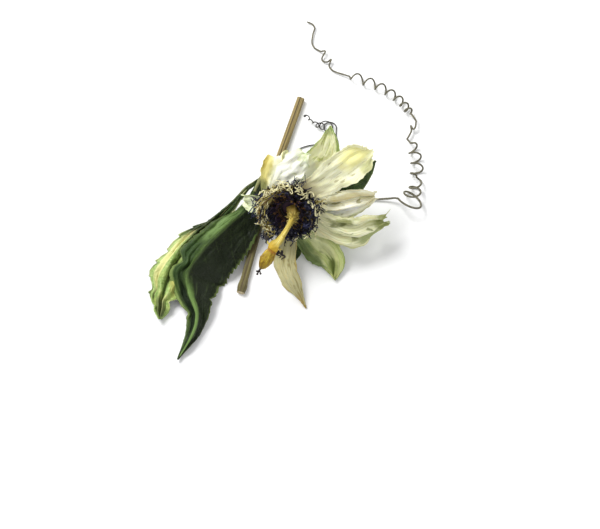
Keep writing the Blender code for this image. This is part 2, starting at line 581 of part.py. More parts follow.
# ---------------------------------------------------------------- tendrils
def coil_line(axis_points, turns, radius, steps, phase=0.0, crowd=1.0):
    """Screw line wound round a smooth axis line that lies on the surface, its turns crowded to one end."""
    axis_line = through(axis_points, steps)
    tangent = unit(np.gradient(axis_line, axis=0))
    side = unit(np.cross(tangent, [0, 0, 1.0]))
    lift = np.cross(side, tangent)
    share = np.linspace(0, 1, steps)
    angle = 2 * math.pi * turns * share**crowd + phase
    grown = radius * ramp(share, 0.0, 0.08) * (1 - 0.3 * share)
    return axis_line + (grown * np.cos(angle))[:, None] * side + (grown * np.sin(angle))[:, None] * lift


def leaning_loops(centre, radius, turns, start_deg, lean_deg, steps):
    """Loops that lean over backwards from the surface and move sideways a little as they go round."""
    share = np.linspace(0, 1, steps)
    angle = np.radians(start_deg) + 2 * math.pi * turns * share
    slope = math.radians(lean_deg)
    x = centre[0] + radius * np.cos(angle) + 1.6 * share
    y = centre[1] + radius * math.cos(slope) * np.sin(angle) + 2.2 * share
    return np.stack([x, y, centre[2] + radius * math.sin(slope) * np.sin(angle)], axis=1)


def rolling_loops(centres, radii, turns, start_deg, rise, steps):
    """Flat loops whose middle and size wander from one to the next while the thread climbs steadily."""
    middle = through(centres, steps)
    share = np.linspace(0, 1, steps)
    size = np.interp(share, np.linspace(0, 1, len(radii)), radii)
    angle = np.radians(start_deg) + 2 * math.pi * turns * share
    round_part = np.stack([size * np.cos(angle), size * np.sin(angle), rise * share], axis=1)
    return middle + round_part


def smooth_line(line, passes):
    for _ in range(passes):
        soft = line.copy()
        soft[1:-1] = 0.25 * line[:-2] + 0.5 * line[1:-1] + 0.25 * line[2:]
        line = soft
    return line


def on_floor(solid):
    points, faces = solid
    points = points.copy()
    points[:, 2] = np.maximum(points[:, 2], 0.0)
    return points, faces


def build_tendril():
    """Long tendril: a straight run, leaning loops, two coils, a kink and a bent end."""
    x = vine_point(LEAF_NODE_Y)
    run = through([(x + 2.05, LEAF_NODE_Y + 1.2, 1.9), (12, 3.0, 1.1), (24, -1.2, 0.7), (36, -3.0, 0.7),
                   (43.0, -2.4, 1.2)], 18)
    loops = leaning_loops((46.4, -4.4, 2.6), 3.2, 1.45, 128, -43, 22)
    first = coil_line([(49.6, 1.4, 2.1), (48.8, 8.0, 2.0), (47.0, 15.5, 2.0)], 4.6, COIL_RADIUS, 54, 1.2)
    twist = np.array([[45.9, 18.2, 1.3], [47.3, 21.2, 1.5], [48.9, 23.6, 1.8]])
    second = coil_line([(47.2, 25.8, 2.0), (43.0, 31.5, 2.0), (36.0, 36.0, 2.0), (27.6, 39.2, 2.0)],
                       7.2, COIL_RADIUS, 84, 0.3, 0.8)
    slack = through([(25.6, 40.4, 1.2), (22.6, 41.8, 0.8), (20.4, 43.0, 0.9)], 6)
    kink = coil_line([(19.8, 44.2, 1.7), (17.9, 46.6, 1.7)], 1.7, 1.3, 18, 2.4)
    last = through([(16.2, 48.2, 0.9), (14.5, 50.1, 0.7), (14.3, 53.8, 0.7), (15.2, 57.0, 0.7),
                    (13.0, 58.8, 0.7)], 12)
    line = np.vstack([run, loops, first, twist, second, slack, kink, last])
    line[:, 2] = np.maximum(line[:, 2], 0.45)
    line = smooth_line(line, 1)
    radius = TENDRIL_RADIUS * (1.15 - 0.3 * np.linspace(0, 1, len(line)))
    make_node("tendril", on_floor(tube_mesh(line, radius, 5)), (0.19, 0.18, 0.12), 0.7, True)


def build_small_tendril():
    """Wiry tendril that arches out behind the bloom and rolls up in a tangle of small loops."""
    x = vine_point(SMALL_TENDRIL_Y)
    low = SMALL_TENDRIL_RADIUS
    run = through([(x + 1.75, SMALL_TENDRIL_Y, 1.7), (6.2, 11.6, 0.8), (9.2, 14.4, low), (12.2, 15.8, low),
                   (15.6, 16.4, low), (20.2, 16.2, low), (24.0, 15.6, low), (25.6, 17.2, low),
                   (24.2, 19.8, low)], 24)
    loops = rolling_loops([(21.9, 22.2, low), (19.6, 22.8, low), (17.4, 22.0, low), (15.8, 23.8, low),
                           (13.6, 24.9, low), (11.9, 26.4, low)], (1.7, 2.0, 1.4, 0.9, 0.35, 0.7),
                          6.2, -30, 4.8, 84)
    line = smooth_line(np.vstack([run, loops]), 1)
    solid = tube_mesh(line, SMALL_TENDRIL_RADIUS, 5)
    make_node("tendril_small", on_floor(solid), (0.12, 0.12, 0.09), 0.7, True)


# ---------------------------------------------------------------- assembly
def clear_scene():
    for old in list(bpy.data.objects):
        bpy.data.objects.remove(old)


clear_scene()
build_vine()
build_flower_stalk()
build_cup()
build_tepals()
build_bracts()
build_crown()
build_column()
build_ovary()
build_styles()
build_anthers()
build_leaf()
build_tendril()
build_small_tendril()
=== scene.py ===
import math

import bpy
import mathutils
import numpy as np
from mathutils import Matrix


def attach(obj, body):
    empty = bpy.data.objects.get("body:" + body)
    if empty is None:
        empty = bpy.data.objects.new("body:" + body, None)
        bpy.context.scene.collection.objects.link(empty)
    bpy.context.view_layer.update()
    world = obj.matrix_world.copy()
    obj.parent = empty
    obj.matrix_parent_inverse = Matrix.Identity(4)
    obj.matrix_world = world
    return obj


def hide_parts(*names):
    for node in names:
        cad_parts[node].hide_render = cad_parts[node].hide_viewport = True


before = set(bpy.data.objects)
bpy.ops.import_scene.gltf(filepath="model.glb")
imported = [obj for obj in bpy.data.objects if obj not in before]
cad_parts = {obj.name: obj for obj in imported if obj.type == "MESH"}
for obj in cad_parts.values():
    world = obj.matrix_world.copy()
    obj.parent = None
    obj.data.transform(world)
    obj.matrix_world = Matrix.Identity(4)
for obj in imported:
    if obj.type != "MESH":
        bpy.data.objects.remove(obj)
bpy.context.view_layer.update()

# lengths are millimetres in the part's own frame, unless a note says metres
# the sprig lies on the surface z = 0 and the bloom leans back on its stalk
mm = 0.001  # metres
bloom = {
    "centre": (7.0, -11.7, 16.0),
    "axis": (-0.2, -0.42, 0.885),  # along the lean's right, up and out ways
    "leanDeg": 20.0,
    "cupRadius": 4.6,
    "seatGap": 0.3,
}

lean = math.radians(bloom["leanDeg"])
rightWay = np.array([1.0, 0.0, 0.0])
upWay = np.array([0.0, math.cos(lean), math.sin(lean)])
outWay = np.array([0.0, -math.sin(lean), math.cos(lean)])
skyWay = np.array([0.0, 0.0, 1.0])
centre = np.array(bloom["centre"])


def unit(vector):
    # each vector divided by its own length
    vector = np.asarray(vector, float)
    return vector / np.maximum(np.linalg.norm(vector, axis=-1, keepdims=True), 1e-12)


# the bloom's own directions: N along its axis, X and Y in its plane
axisLean = unit(bloom["axis"])
bloomN = axisLean[0] * rightWay + axisLean[1] * upWay + axisLean[2] * outWay
bloomX = unit(rightWay - rightWay.dot(bloomN) * bloomN)
bloomY = np.cross(bloomN, bloomX)


def leanPoint(point):
    # centre + right part + part up the lean + part out of the lean
    return centre + point[0] * rightWay + point[1] * upWay + point[2] * outWay


def bloomPoint(radius, turn, height):
    # centre + radius * (cos, sin of the turn) in the bloom's plane + height along its axis
    radius = np.asarray(radius)
    flat = (radius * np.cos(turn))[..., None] * bloomX + (radius * np.sin(turn))[..., None] * bloomY
    return centre + flat + np.asarray(height)[..., None] * bloomN


def ramp(value, low, high):
    # smooth step: 0 below low, 1 above high
    share = np.clip((value - low) / (high - low), 0.0, 1.0)
    return share * share * (3 - 2 * share)


def fullTurn(sides):
    # angles spaced evenly once round
    return np.linspace(0, 2 * math.pi, sides, endpoint=False)


def readAt(places, known, table):
    # each column of the table read off between its known places
    return np.stack([np.interp(places, known, column) for column in table.T], axis=1)


def through(points, count):
    # Catmull-Rom curve through the points, then spaced evenly along its length
    points = np.asarray(points, float)
    padded = np.vstack([2 * points[0] - points[1], points, 2 * points[-1] - points[-2]])
    t = np.linspace(0.0, 1.0, 40, endpoint=False)[None, :, None]
    p0, p1, p2, p3 = (padded[k:k + len(points) - 1][:, None, :] for k in range(4))
    dense = 0.5 * (2 * p1 + (p2 - p0) * t + (2 * p0 - 5 * p1 + 4 * p2 - p3) * t**2
                   + (3 * p1 - p0 - 3 * p2 + p3) * t**3)
    dense = np.vstack([dense.reshape(-1, 3), points[-1:]])
    run = np.concatenate([[0.0], np.cumsum(np.linalg.norm(np.diff(dense, axis=0), axis=1))])
    return readAt(np.linspace(0.0, run[-1], count), run, dense)


def valueNoise(x, y, seed):
    # values hashed on a square lattice, blended with smooth steps between its corners: -1 to 1
    def corner(i, j):
        # the part after the point of a large sine, different at every corner
        raw = np.sin(i * 127.1 + j * 311.7 + seed * 74.7) * 43758.5453
        return 2 * (raw - np.floor(raw)) - 1
    i, j = np.floor(x), np.floor(y)
    a, b = x - i, y - j
    a, b = a * a * (3 - 2 * a), b * b * (3 - 2 * b)
    low = corner(i, j) * (1 - a) + corner(i + 1, j) * a
    high = corner(i, j + 1) * (1 - a) + corner(i + 1, j + 1) * a
    return low * (1 - b) + high * b


def layeredNoise(x, y, seed, layers=3):
    # value noise summed over layers, each twice as fine and half as strong
    total = sum(valueNoise(x * 2**k, y * 2**k, seed + 3 * k) / 2**k for k in range(layers))
    return total / (2 - 0.5 ** (layers - 1))


def foldNoise(x, y, seed, layers=3):
    # 1 along sharp crest lines where the noise crosses zero, falling towards 0 between them
    total = sum((1 - np.abs(valueNoise(x * 2**k, y * 2**k, seed + 5 * k))) * 0.55**k for k in range(layers))
    return total / sum(0.55**k for k in range(layers))


# meshes
def facesOf(*corners):
    # faces from arrays of point numbers, one array for each corner
    return np.stack([corner.ravel() for corner in corners], 1)


def meshFrom(name, solid):
    # points in millimetres, faces as index arrays, uv one pair a point, marks one number a point
    points = solid["points"]
    quads = np.asarray(solid["quads"], np.int32).reshape(-1, 4)
    tris = np.asarray(solid["tris"], np.int32).reshape(-1, 3)
    mesh = bpy.data.meshes.new(name)
    mesh.vertices.add(len(points))
    mesh.vertices.foreach_set("co", (np.asarray(points, np.float32) * mm).ravel())
    corners = np.concatenate([quads.ravel(), tris.ravel()])
    mesh.loops.add(len(corners))
    mesh.loops.foreach_set("vertex_index", corners)
    starts = np.concatenate([np.arange(len(quads)) * 4, len(quads) * 4 + np.arange(len(tris)) * 3])
    mesh.polygons.add(len(starts))
    mesh.polygons.foreach_set("loop_start", starts.astype(np.int32))
    mesh.polygons.foreach_set("use_smooth", np.full(len(starts), True))
    layer = mesh.uv_layers.new(name="growthUv")
    layer.data.foreach_set("uv", np.asarray(solid["uv"], np.float32)[corners].ravel())
    for key, values in solid["marks"].items():
        mark = mesh.attributes.new(key, "FLOAT", "POINT")
        mark.data.foreach_set("value", np.asarray(values, np.float32).ravel())
    mesh.update()
    mesh.validate()
    made = bpy.data.objects.new(name, mesh)
    bpy.context.scene.collection.objects.link(made)
    return made


def finishPiece(made, material, node):
    # its finish, what it rides on and the node that it shows
    made.data.materials.append(material)
    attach(made, "root")
    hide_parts(node)


def joinParts(parts):
    # several solids with the same marks as one: point numbers shift by the points before them
    shifts = np.cumsum([0] + [len(part["points"]) for part in parts[:-1]])
    joined = {key: np.vstack([part[key] for part in parts]) for key in ("points", "uv")}
    for key in ("quads", "tris"):
        joined[key] = np.vstack([part[key] + shift for part, shift in zip(parts, shifts)])
    joined["marks"] = {key: np.concatenate([part["marks"][key] for part in parts])
                       for key in parts[0]["marks"]}
    return joined


# blades: petals, sepals, bracts and leaf lobes
def widthAlong(u, spec):
    # half width: sine opening from the root to the widest place, power closing to the tip
    widest, root = spec["widest"], spec["root"]
    opened = np.clip(u / widest, 0, 1) ** spec.get("late", 1.0)
    opening = root + (1 - root) * np.sin(0.5 * math.pi * opened)
    past = np.clip((u - widest) / (1 - widest), 0, 1)
    closing = (1 - past ** spec["blunt"]) ** spec.get("round", 0.8)
    return np.maximum(spec["half"] * opening * closing, spec.get("tip", 0.45))


def raggedWidth(uu, vv, spec):
    # the half width with its saw teeth, slow waves and torn places, all strongest at the margin;
    # tapers narrow one side of the rib smoothly, notches cut into it
    half = widthAlong(uu, spec) * np.where(vv < 0, spec.get("rightShare", 1.0), 1.0)
    teeth = spec.get("teeth", 0)
    if teeth:
        saw = (uu * teeth + 0.5 * (vv < 0)) % 1.0
        half = half * (1 + spec["bite"] * (saw - 0.5) * np.abs(vv) ** 3)
    wave = np.sin(uu * 23 + 2.1 * np.sign(vv) + spec["phase"])
    half = half * (1 + spec.get("ragged", 0.0) * wave)
    for way, first, last, share in spec.get("tapers", ()):
        half = half * np.where(way * vv > 0, 1 - (1 - share) * ramp(uu, first, last), 1.0)
    for way, place, length, depth in spec.get("notches", ()):
        gap = depth * np.exp(-((uu - place) / length) ** 2)
        half = half * np.where(way * vv > 0, 1 - gap, 1.0)
    torn = layeredNoise(uu * 16 + 5 * np.sign(vv), np.sign(vv), spec["seed"], 3)
    return half * (1 + spec["torn"] * torn * np.abs(vv) ** 2)


def broadHeight(uu, vv, ease, spec):
    # lengthwise pleats + a margin that waves + slow rumples: the same sines as the solid piece has
    phase = spec["phase"]
    height = spec.get("pleat", 0) * ease * np.sin(spec.get("pleats", 3) * math.pi * vv + phase)
    ruffle = np.sin(2 * math.pi * spec["waves"] * uu + phase + 1.3 * vv)
    height = height + spec["ruffle"] * ease * vv * vv * ruffle
    rumple = (np.sin(3.1 * math.pi * uu + 1.7 * math.pi * vv + phase)
              + 0.6 * np.sin(5.3 * math.pi * uu - 2.6 * math.pi * vv + 2.3 * phase)
              + 0.4 * np.sin(8.1 * math.pi * uu + 3.3 * math.pi * vv - phase))
    return height + 0.6 * spec.get("crumple", 0) * ease * rumple


def ridgeLines(uu, vv, ease, spec):
    # rounded folds that run lengthwise along wandering lines, each a bell across its own width
    height, crest = np.zeros_like(uu), np.zeros_like(uu)
    for place, width, lift, sway in spec.get("ridges", ()):
        line = place + sway * np.sin(2 * math.pi * (1.1 * uu + 2 * place))
        bell = np.exp(-((vv - line) / width) ** 2)
        height = height + lift * ease * bell
        crest = crest + 0.3 * np.sign(lift) * ease * np.exp(-((vv - line) / (0.4 * width)) ** 2)
    return height, crest


def fineHeight(uu, vv, ease, spec):
    # sharp crests less sharp valleys, lengthwise; small crumples; a curled margin; on leaves, veins
    seed = spec["seed"]
    bent = vv * spec.get("folds", 2.4) + 0.3 * layeredNoise(uu * 5, vv * 2, seed + 3, 2)
    crest = foldNoise(uu * 2.6, bent, seed + 1, 2)
    valley = foldNoise(uu * 3.1 + 7, bent * 1.2, seed + 2, 2)
    height = spec["crease"] * (0.35 + 0.65 * ease) * (crest - valley)
    crush = foldNoise(uu * 9, vv * 3.6, seed + 5, 3) - foldNoise(uu * 8 + 3, vv * 4.2 + 5, seed + 6, 3)
    height = height + spec["crush"] * (0.3 + 0.7 * ease) * crush
    rim = ramp(np.abs(vv), 0.7, 1.0)
    curl = layeredNoise(uu * 7 + 3 * np.sign(vv), vv, seed + 2, 2)
    height = height + spec["curl"] * ease * rim * curl
    veins = spec.get("veins", 0)
    if veins:
        slant = (uu * veins - 0.22 * veins * np.abs(vv) * spec["half"] / 30.0) % 1.0
        pillow = (np.sin(math.pi * slant) - 0.6) * (1 - rim) * ramp(np.abs(vv), 0, 0.15)
        height = height + spec["quilt"] * pillow
        height = height - 0.25 * np.exp(-(vv / 0.04) ** 2)
    ridge, ridgeMark = ridgeLines(uu, vv, ease, spec)
    mark = 0.5 + 0.5 * (ramp(crest, 0.78, 0.99) - ramp(valley, 0.7, 0.97)) + 0.25 * crush + ridgeMark
    return height + ridge, np.clip(mark, 0, 1)


def bladeGrid(spec):
    # middle line + lateral offset across it + height off it; both offsets are functions of u and v
    line = through(spec["line"], spec["rows"] + 1)
    tangent = unit(np.gradient(line, axis=0))
    side = np.asarray(spec["side"], float)
    across = unit(side - spec.get("square", 1.0) * (tangent @ side)[:, None] * tangent)
    up = unit(np.cross(tangent, across))
    u = np.linspace(0, 1, spec["rows"] + 1)
    twist = np.radians(spec.get("twist1", 0) * u)
    acrossT = across * np.cos(twist)[:, None] + up * np.sin(twist)[:, None]
    upT = up * np.cos(twist)[:, None] - across * np.sin(twist)[:, None]
    v = np.linspace(-1, 1, spec["cols"] + 1)
    v = np.sign(v) * np.abs(v) ** 0.9
    uu, vv = np.meshgrid(u, v, indexing="ij")
    half = raggedWidth(uu, vv, spec)
    bend = np.radians(spec.get("cup0", 0) + (spec.get("cup1", 0) - spec.get("cup0", 0)) * uu)
    bend = np.where(np.abs(bend) < 1e-3, 1e-3, bend)  # keeps clear of dividing by nought
    lateral = half * np.sin(bend * vv) / bend
    ease = ramp(uu, 0.08, spec.get("ease", 0.45))
    fine, mark = fineHeight(uu, vv, ease, spec)
    height = half * (1 - np.cos(bend * vv)) / bend + broadHeight(uu, vv, ease, spec) + fine
    foldLeft = np.interp(uu, (0, 1), spec.get("foldLeft", (0, 0)))
    foldRight = np.interp(uu, (0, 1), spec.get("foldRight", (0, 0)))
    fold = np.radians(np.where(vv > 0, foldLeft, foldRight)) * ramp(uu, 0.0, 0.15)
    height = height - np.abs(lateral) * np.sin(fold)
    lateral = lateral * np.cos(fold)
    pulled = spec.get("split", 0) * ramp(uu, 0.7, 1.0) * (1 - np.abs(vv)) * (1 + 0.25 * vv)
    frayed = layeredNoise(vv * 5, uu * 0, spec["seed"] + 9, 3)
    pulled = pulled + spec.get("fray", 0) * ramp(uu, 0.8, 1.0) * frayed
    grid = line[:, None, :] + lateral[..., None] * acrossT[:, None, :] + height[..., None] * upT[:, None, :]
    return grid - pulled[..., None] * tangent[:, None, :], uu, vv, mark


def bladeSolid(spec):
    # middle surface moved half the thickness to each side, thinner at its margin, closed round the rim
    grid, uu, vv, mark = bladeGrid(spec)
    grid[..., 2] = np.maximum(grid[..., 2], 0.3)  # kept off the surface that it lies on
    normal = unit(np.cross(np.gradient(grid, axis=0), np.gradient(grid, axis=1)))
    depth = (0.5 * spec["thick"] * (1 - 0.5 * np.abs(vv) ** 6))[..., None]
    top, low = grid + normal * depth, grid - normal * depth
    n, m = uu.shape
    index = np.arange(n * m).reshape(n, m)
    upper = facesOf(index[:-1, :-1], index[1:, :-1], index[1:, 1:], index[:-1, 1:])
    ring = np.concatenate([index[:-1, 0], index[-1, :-1], index[:0:-1, -1], index[0, :0:-1]])
    after = np.roll(ring, -1)
    skirt = facesOf(after, ring, ring + n * m, after + n * m)
    flat = np.stack([uu.ravel(), 0.5 + 0.5 * vv.ravel()], 1)
    face = np.concatenate([np.ones(n * m), np.zeros(n * m)])
    return {"points": np.vstack([top.reshape(-1, 3), low.reshape(-1, 3)]),
            "quads": np.vstack([upper, upper[:, ::-1] + n * m, skirt]), "tris": np.zeros((0, 3), int),
            "uv": np.vstack([flat, flat]),
            "marks": {"upperFace": face, "foldMark": np.tile(mark.ravel(), 2)}}


# tubes, coils and turned pieces
def tubeSolid(line, radius, sides, reference, section):
    # circle of the given radius, times the section's own shape, carried along the line
    radius = np.broadcast_to(radius, len(line))
    tangent = unit(np.gradient(line, axis=0))
    reference = np.broadcast_to(reference, line.shape)
    first = unit(reference - np.sum(reference * tangent, 1, keepdims=True) * tangent)
    second = np.cross(tangent, first)
    turn = fullTurn(sides)
    ring = np.cos(turn)[None, :, None] * first[:, None, :] + np.sin(turn)[None, :, None] * second[:, None, :]
    return loftSolid(line[:, None, :] + ring * (radius[:, None] * section)[..., None])


def loftSolid(points):
    # rings of points joined ring to ring, each end closed by a fan round its middle point
    n, sides = points.shape[:2]
    index = np.arange(n * sides).reshape(n, sides)
    beside = np.roll(index, -1, axis=1)
    quads = facesOf(index[:-1], beside[:-1], beside[1:], index[1:])
    first, last = n * sides, n * sides + 1
    tris = np.vstack([facesOf(np.full(sides, first), beside[0], index[0]),
                      facesOf(np.full(sides, last), index[-1], beside[-1])])
    along = np.repeat(np.linspace(0, 1, n), sides)
    around = np.tile(np.linspace(0, 1, sides, endpoint=False), n)
    uv = np.vstack([np.stack([along, around], 1), [[0, 0.5], [1, 0.5]]])
    middles = np.stack([points[0].mean(0), points[-1].mean(0)])
    return {"points": np.vstack([points.reshape(-1, 3), middles]), "quads": quads, "tris": tris,
            "uv": uv, "marks": {}}


def turnedSolid(radius, height, origin, axis, sides, wobble):
    # profile of radius against height turned round the axis, its radius raised by the wobble's share
    axis = unit(axis)
    helper = np.array([1.0, 0, 0]) if abs(axis[0]) < 0.8 else np.array([0, 1.0, 0])
    x = unit(np.cross(helper, axis))
    y = np.cross(axis, x)
    turn = fullTurn(sides)
    spread = radius[:, None] * (1 + wobble)
    flat = np.cos(turn)[None, :, None] * x + np.sin(turn)[None, :, None] * y
    return loftSolid(origin + spread[..., None] * flat + height[:, None, None] * axis)


def skinOf(rows, sides, seed, amount, run=6.0):
    # uneven dried skin: 1 + layered noise read along the run and round a circle, so that it closes
    around = 4.0
    turn = fullTurn(sides)
    s = np.linspace(0, run, rows)[:, None]
    x = s + around * 0.3 * np.cos(turn)[None, :]
    return 1 + amount * layeredNoise(x, around * 0.5 * np.sin(turn)[None, :] + s * 0.4, seed, 3)


# material building blocks
def startMaterial(name, roughness, sheen=0.0, gloss=0.5):
    # one surface with its roughness, sheen and gloss set on the shader's own sockets
    made = bpy.data.materials.new(name)
    made.use_nodes = True
    tree = made.node_tree
    shader = tree.nodes["Principled BSDF"]
    shader.inputs["Roughness"].default_value = roughness
    shader.inputs["Sheen Weight"].default_value = sheen
    shader.inputs["Specular IOR Level"].default_value = gloss
    return made, tree, shader


def plug(tree, socket, value):
    # a number or a colour is set on the socket itself, anything else is linked to it
    if isinstance(value, (int, float)):
        socket.default_value = value
    elif isinstance(value, tuple):
        socket.default_value = (*value, 1.0) if len(value) == 3 and socket.type == "RGBA" else value
    else:
        tree.links.new(value, socket)


def calc(tree, operation, a, b=0.0, c=0.0):
    # the named operation on a, b and c
    node = tree.nodes.new("ShaderNodeMath")
    node.operation = operation
    for socket, value in zip(node.inputs, (a, b, c)):
        plug(tree, socket, value)
    return node.outputs[0]


def fade(tree, value, low, high, start=0.0, end=1.0):
    # smooth step from start to end while the value goes from low to high
    node = tree.nodes.new("ShaderNodeMapRange")
    node.interpolation_type = "SMOOTHSTEP"
    for socket, number in zip(node.inputs[:5], (value, low, high, start, end)):
        plug(tree, socket, number)
    return node.outputs[0]


def wash(tree, colour, tint, share, strength=1.0, way="MIX"):
    # the tint laid over the colour where share is high, at most at the given strength
    node = tree.nodes.new("ShaderNodeMix")
    node.data_type = "RGBA"
    node.blend_type = way
    plug(tree, node.inputs[0], share if strength == 1.0 else calc(tree, "MULTIPLY", share, strength))
    plug(tree, node.inputs[6], colour)
    plug(tree, node.inputs[7], tint)
    return node.outputs[2]


def speckle(tree, scale, detail=3.0, stretch=(1.0, 1.0, 1.0), space="Object", rough=0.55, warp=0.0):
    # soft noise, 0 to 1, in object or growth space; stretch squeezes it along an axis
    where = tree.nodes.new("ShaderNodeTexCoord")
    place = tree.nodes.new("ShaderNodeMapping")
    place.inputs["Scale"].default_value = stretch
    tree.links.new(where.outputs[space], place.inputs["Vector"])
    node = tree.nodes.new("ShaderNodeTexNoise")
    node.inputs["Scale"].default_value = scale
    node.inputs["Detail"].default_value = detail
    node.inputs["Roughness"].default_value = rough
    node.inputs["Distortion"].default_value = warp
    tree.links.new(place.outputs[0], node.inputs["Vector"])
    return node.outputs[0]


def cells(tree, scale):
    # distance to the nearest wall of a net of cells
    where = tree.nodes.new("ShaderNodeTexCoord")
    node = tree.nodes.new("ShaderNodeTexVoronoi")
    node.feature = "DISTANCE_TO_EDGE"
    node.inputs["Scale"].default_value = scale
    tree.links.new(where.outputs["Object"], node.inputs["Vector"])
    return node.outputs[0]


def growth(tree):
    # (share along the piece, share across or around it)
    where = tree.nodes.new("ShaderNodeUVMap")
    where.uv_map = "growthUv"
    split = tree.nodes.new("ShaderNodeSeparateXYZ")
    tree.links.new(where.outputs[0], split.inputs[0])
    return split.outputs[0], split.outputs[1]


def markOf(tree, name):
    # the number that each point of the mesh keeps under this name
    node = tree.nodes.new("ShaderNodeAttribute")
    node.attribute_name = name
    return node.outputs["Fac"]


def relief(tree, shader, height, strength, depth):
    # fine bump from the height pattern, its depth in metres
    node = tree.nodes.new("ShaderNodeBump")
    node.inputs["Strength"].default_value = strength
    node.inputs["Distance"].default_value = depth
    plug(tree, node.inputs["Height"], height)
    tree.links.new(node.outputs[0], shader.inputs["Normal"])


def scatter(shader, weight, radius, scale):
    # light that soaks into thin dry tissue, its depth in metres
    shader.inputs["Subsurface Weight"].default_value = weight
    shader.inputs["Subsurface Radius"].default_value = radius
    shader.inputs["Subsurface Scale"].default_value = scale


def oval(tree, u, v, place, blur):
    # 1 inside an uneven oval patch given as (u, v, half length, half width), 0 outside it
    du = calc(tree, "DIVIDE", calc(tree, "SUBTRACT", u, place[0]), place[2])
    dv = calc(tree, "DIVIDE", calc(tree, "SUBTRACT", v, place[1]), place[3])
    far = calc(tree, "ADD", calc(tree, "MULTIPLY", du, du), calc(tree, "MULTIPLY", dv, dv))
    return fade(tree, calc(tree, "ADD", far, calc(tree, "MULTIPLY_ADD", blur, 1.6, -0.8)), 1.2, 0.2)


def petalMaterial(name, look):
    # pale dry tissue: fine lengthwise veins, tan crests, painted shade in the fold valleys, a tinted foot
    # darkened by painted shade under the crown, tinted margin and tip, and stains with some painted light and
    # shade
    made, tree, shader = startMaterial(name, roughness=0.62, sheen=0.03, gloss=0.25)
    u, v = growth(tree)
    off = calc(tree, "ABSOLUTE", calc(tree, "MULTIPLY_ADD", v, 2.0, -1.0))
    blur = speckle(tree, 260.0, 3.0)
    fine = speckle(tree, 1700.0, 4.0)
    streak = speckle(tree, 1.0, 4.0, (2.2, 30.0, 1.0), "UV", 0.62, 0.4)
    fold = markOf(tree, "foldMark")
    colour = wash(tree, look["body"], look["pale"], fade(tree, streak, 0.62, 0.36))
    veinTurns = look.get("veins", 24) * 2 * math.pi
    around = calc(tree, "MULTIPLY_ADD", v, veinTurns, calc(tree, "MULTIPLY", blur, 6.0))
    vein = fade(tree, calc(tree, "SINE", around), 0.55, 1.0)
    vein = calc(tree, "MULTIPLY", vein, fade(tree, u, 1.0, 0.05, 0.25, 0.9))
    colour = wash(tree, colour, look["vein"], vein, look.get("veinShare", 0.5))
    crest = fade(tree, calc(tree, "MULTIPLY_ADD", fine, 0.2, fold), 0.76, 1.02)
    colour = wash(tree, colour, look["crest"], crest, look.get("crestShare", 0.55))
    # painted shade: the fold valleys darkened
    valley = fade(tree, calc(tree, "MULTIPLY_ADD", fine, 0.2, fold), 0.44, 0.14)
    colour = wash(tree, colour, look["valley"], valley, 0.8)
    # the foot's own tan base, on most tepals darkened further as painted shade under the crown
    foot = fade(tree, calc(tree, "MULTIPLY_ADD", streak, 0.3, u), 0.56, 0.2)
    colour = wash(tree, colour, look["foot"], foot, look.get("footShare", 0.6))
    margin = fade(tree, calc(tree, "MULTIPLY_ADD", blur, 0.5, off), 1.05, 1.36)
    colour = wash(tree, colour, look["margin"], margin, look.get("marginShare", 0.7))
    end = fade(tree, calc(tree, "MULTIPLY_ADD", blur, 0.4, u), *look.get("tipFrom", (1.0, 1.3)))
    colour = wash(tree, colour, look["tip"], end, 0.8)
    # stains: the tissue's own tints, with painted shade on some tepals and painted light on sepal_2
    for place, tint, strength in look.get("stainsAndPaintedLight", ()):
        colour = wash(tree, colour, tint, oval(tree, u, v, place, blur), strength)
    brown = fade(tree, speckle(tree, 620.0, 5.0, rough=0.72), 0.63, 0.72)
    colour = wash(tree, colour, look.get("fleckColour", look["vein"]), brown, 0.45)
    colour = wash(tree, look.get("back", look["body"]), colour, markOf(tree, "upperFace"))
    plug(tree, shader.inputs["Base Color"], colour)
    plug(tree, shader.inputs["Roughness"], fade(tree, fine, 0.3, 0.7, 0.48, 0.78))
    grain = calc(tree, "MULTIPLY_ADD", streak, 1.2, calc(tree, "MULTIPLY", fine, 0.5))
    relief(tree, shader, calc(tree, "MULTIPLY_ADD", vein, -0.7, grain), strength=0.7, depth=0.00026)
    scatter(shader, weight=0.14, radius=(0.9, 0.75, 0.4), scale=0.0006)
    return made


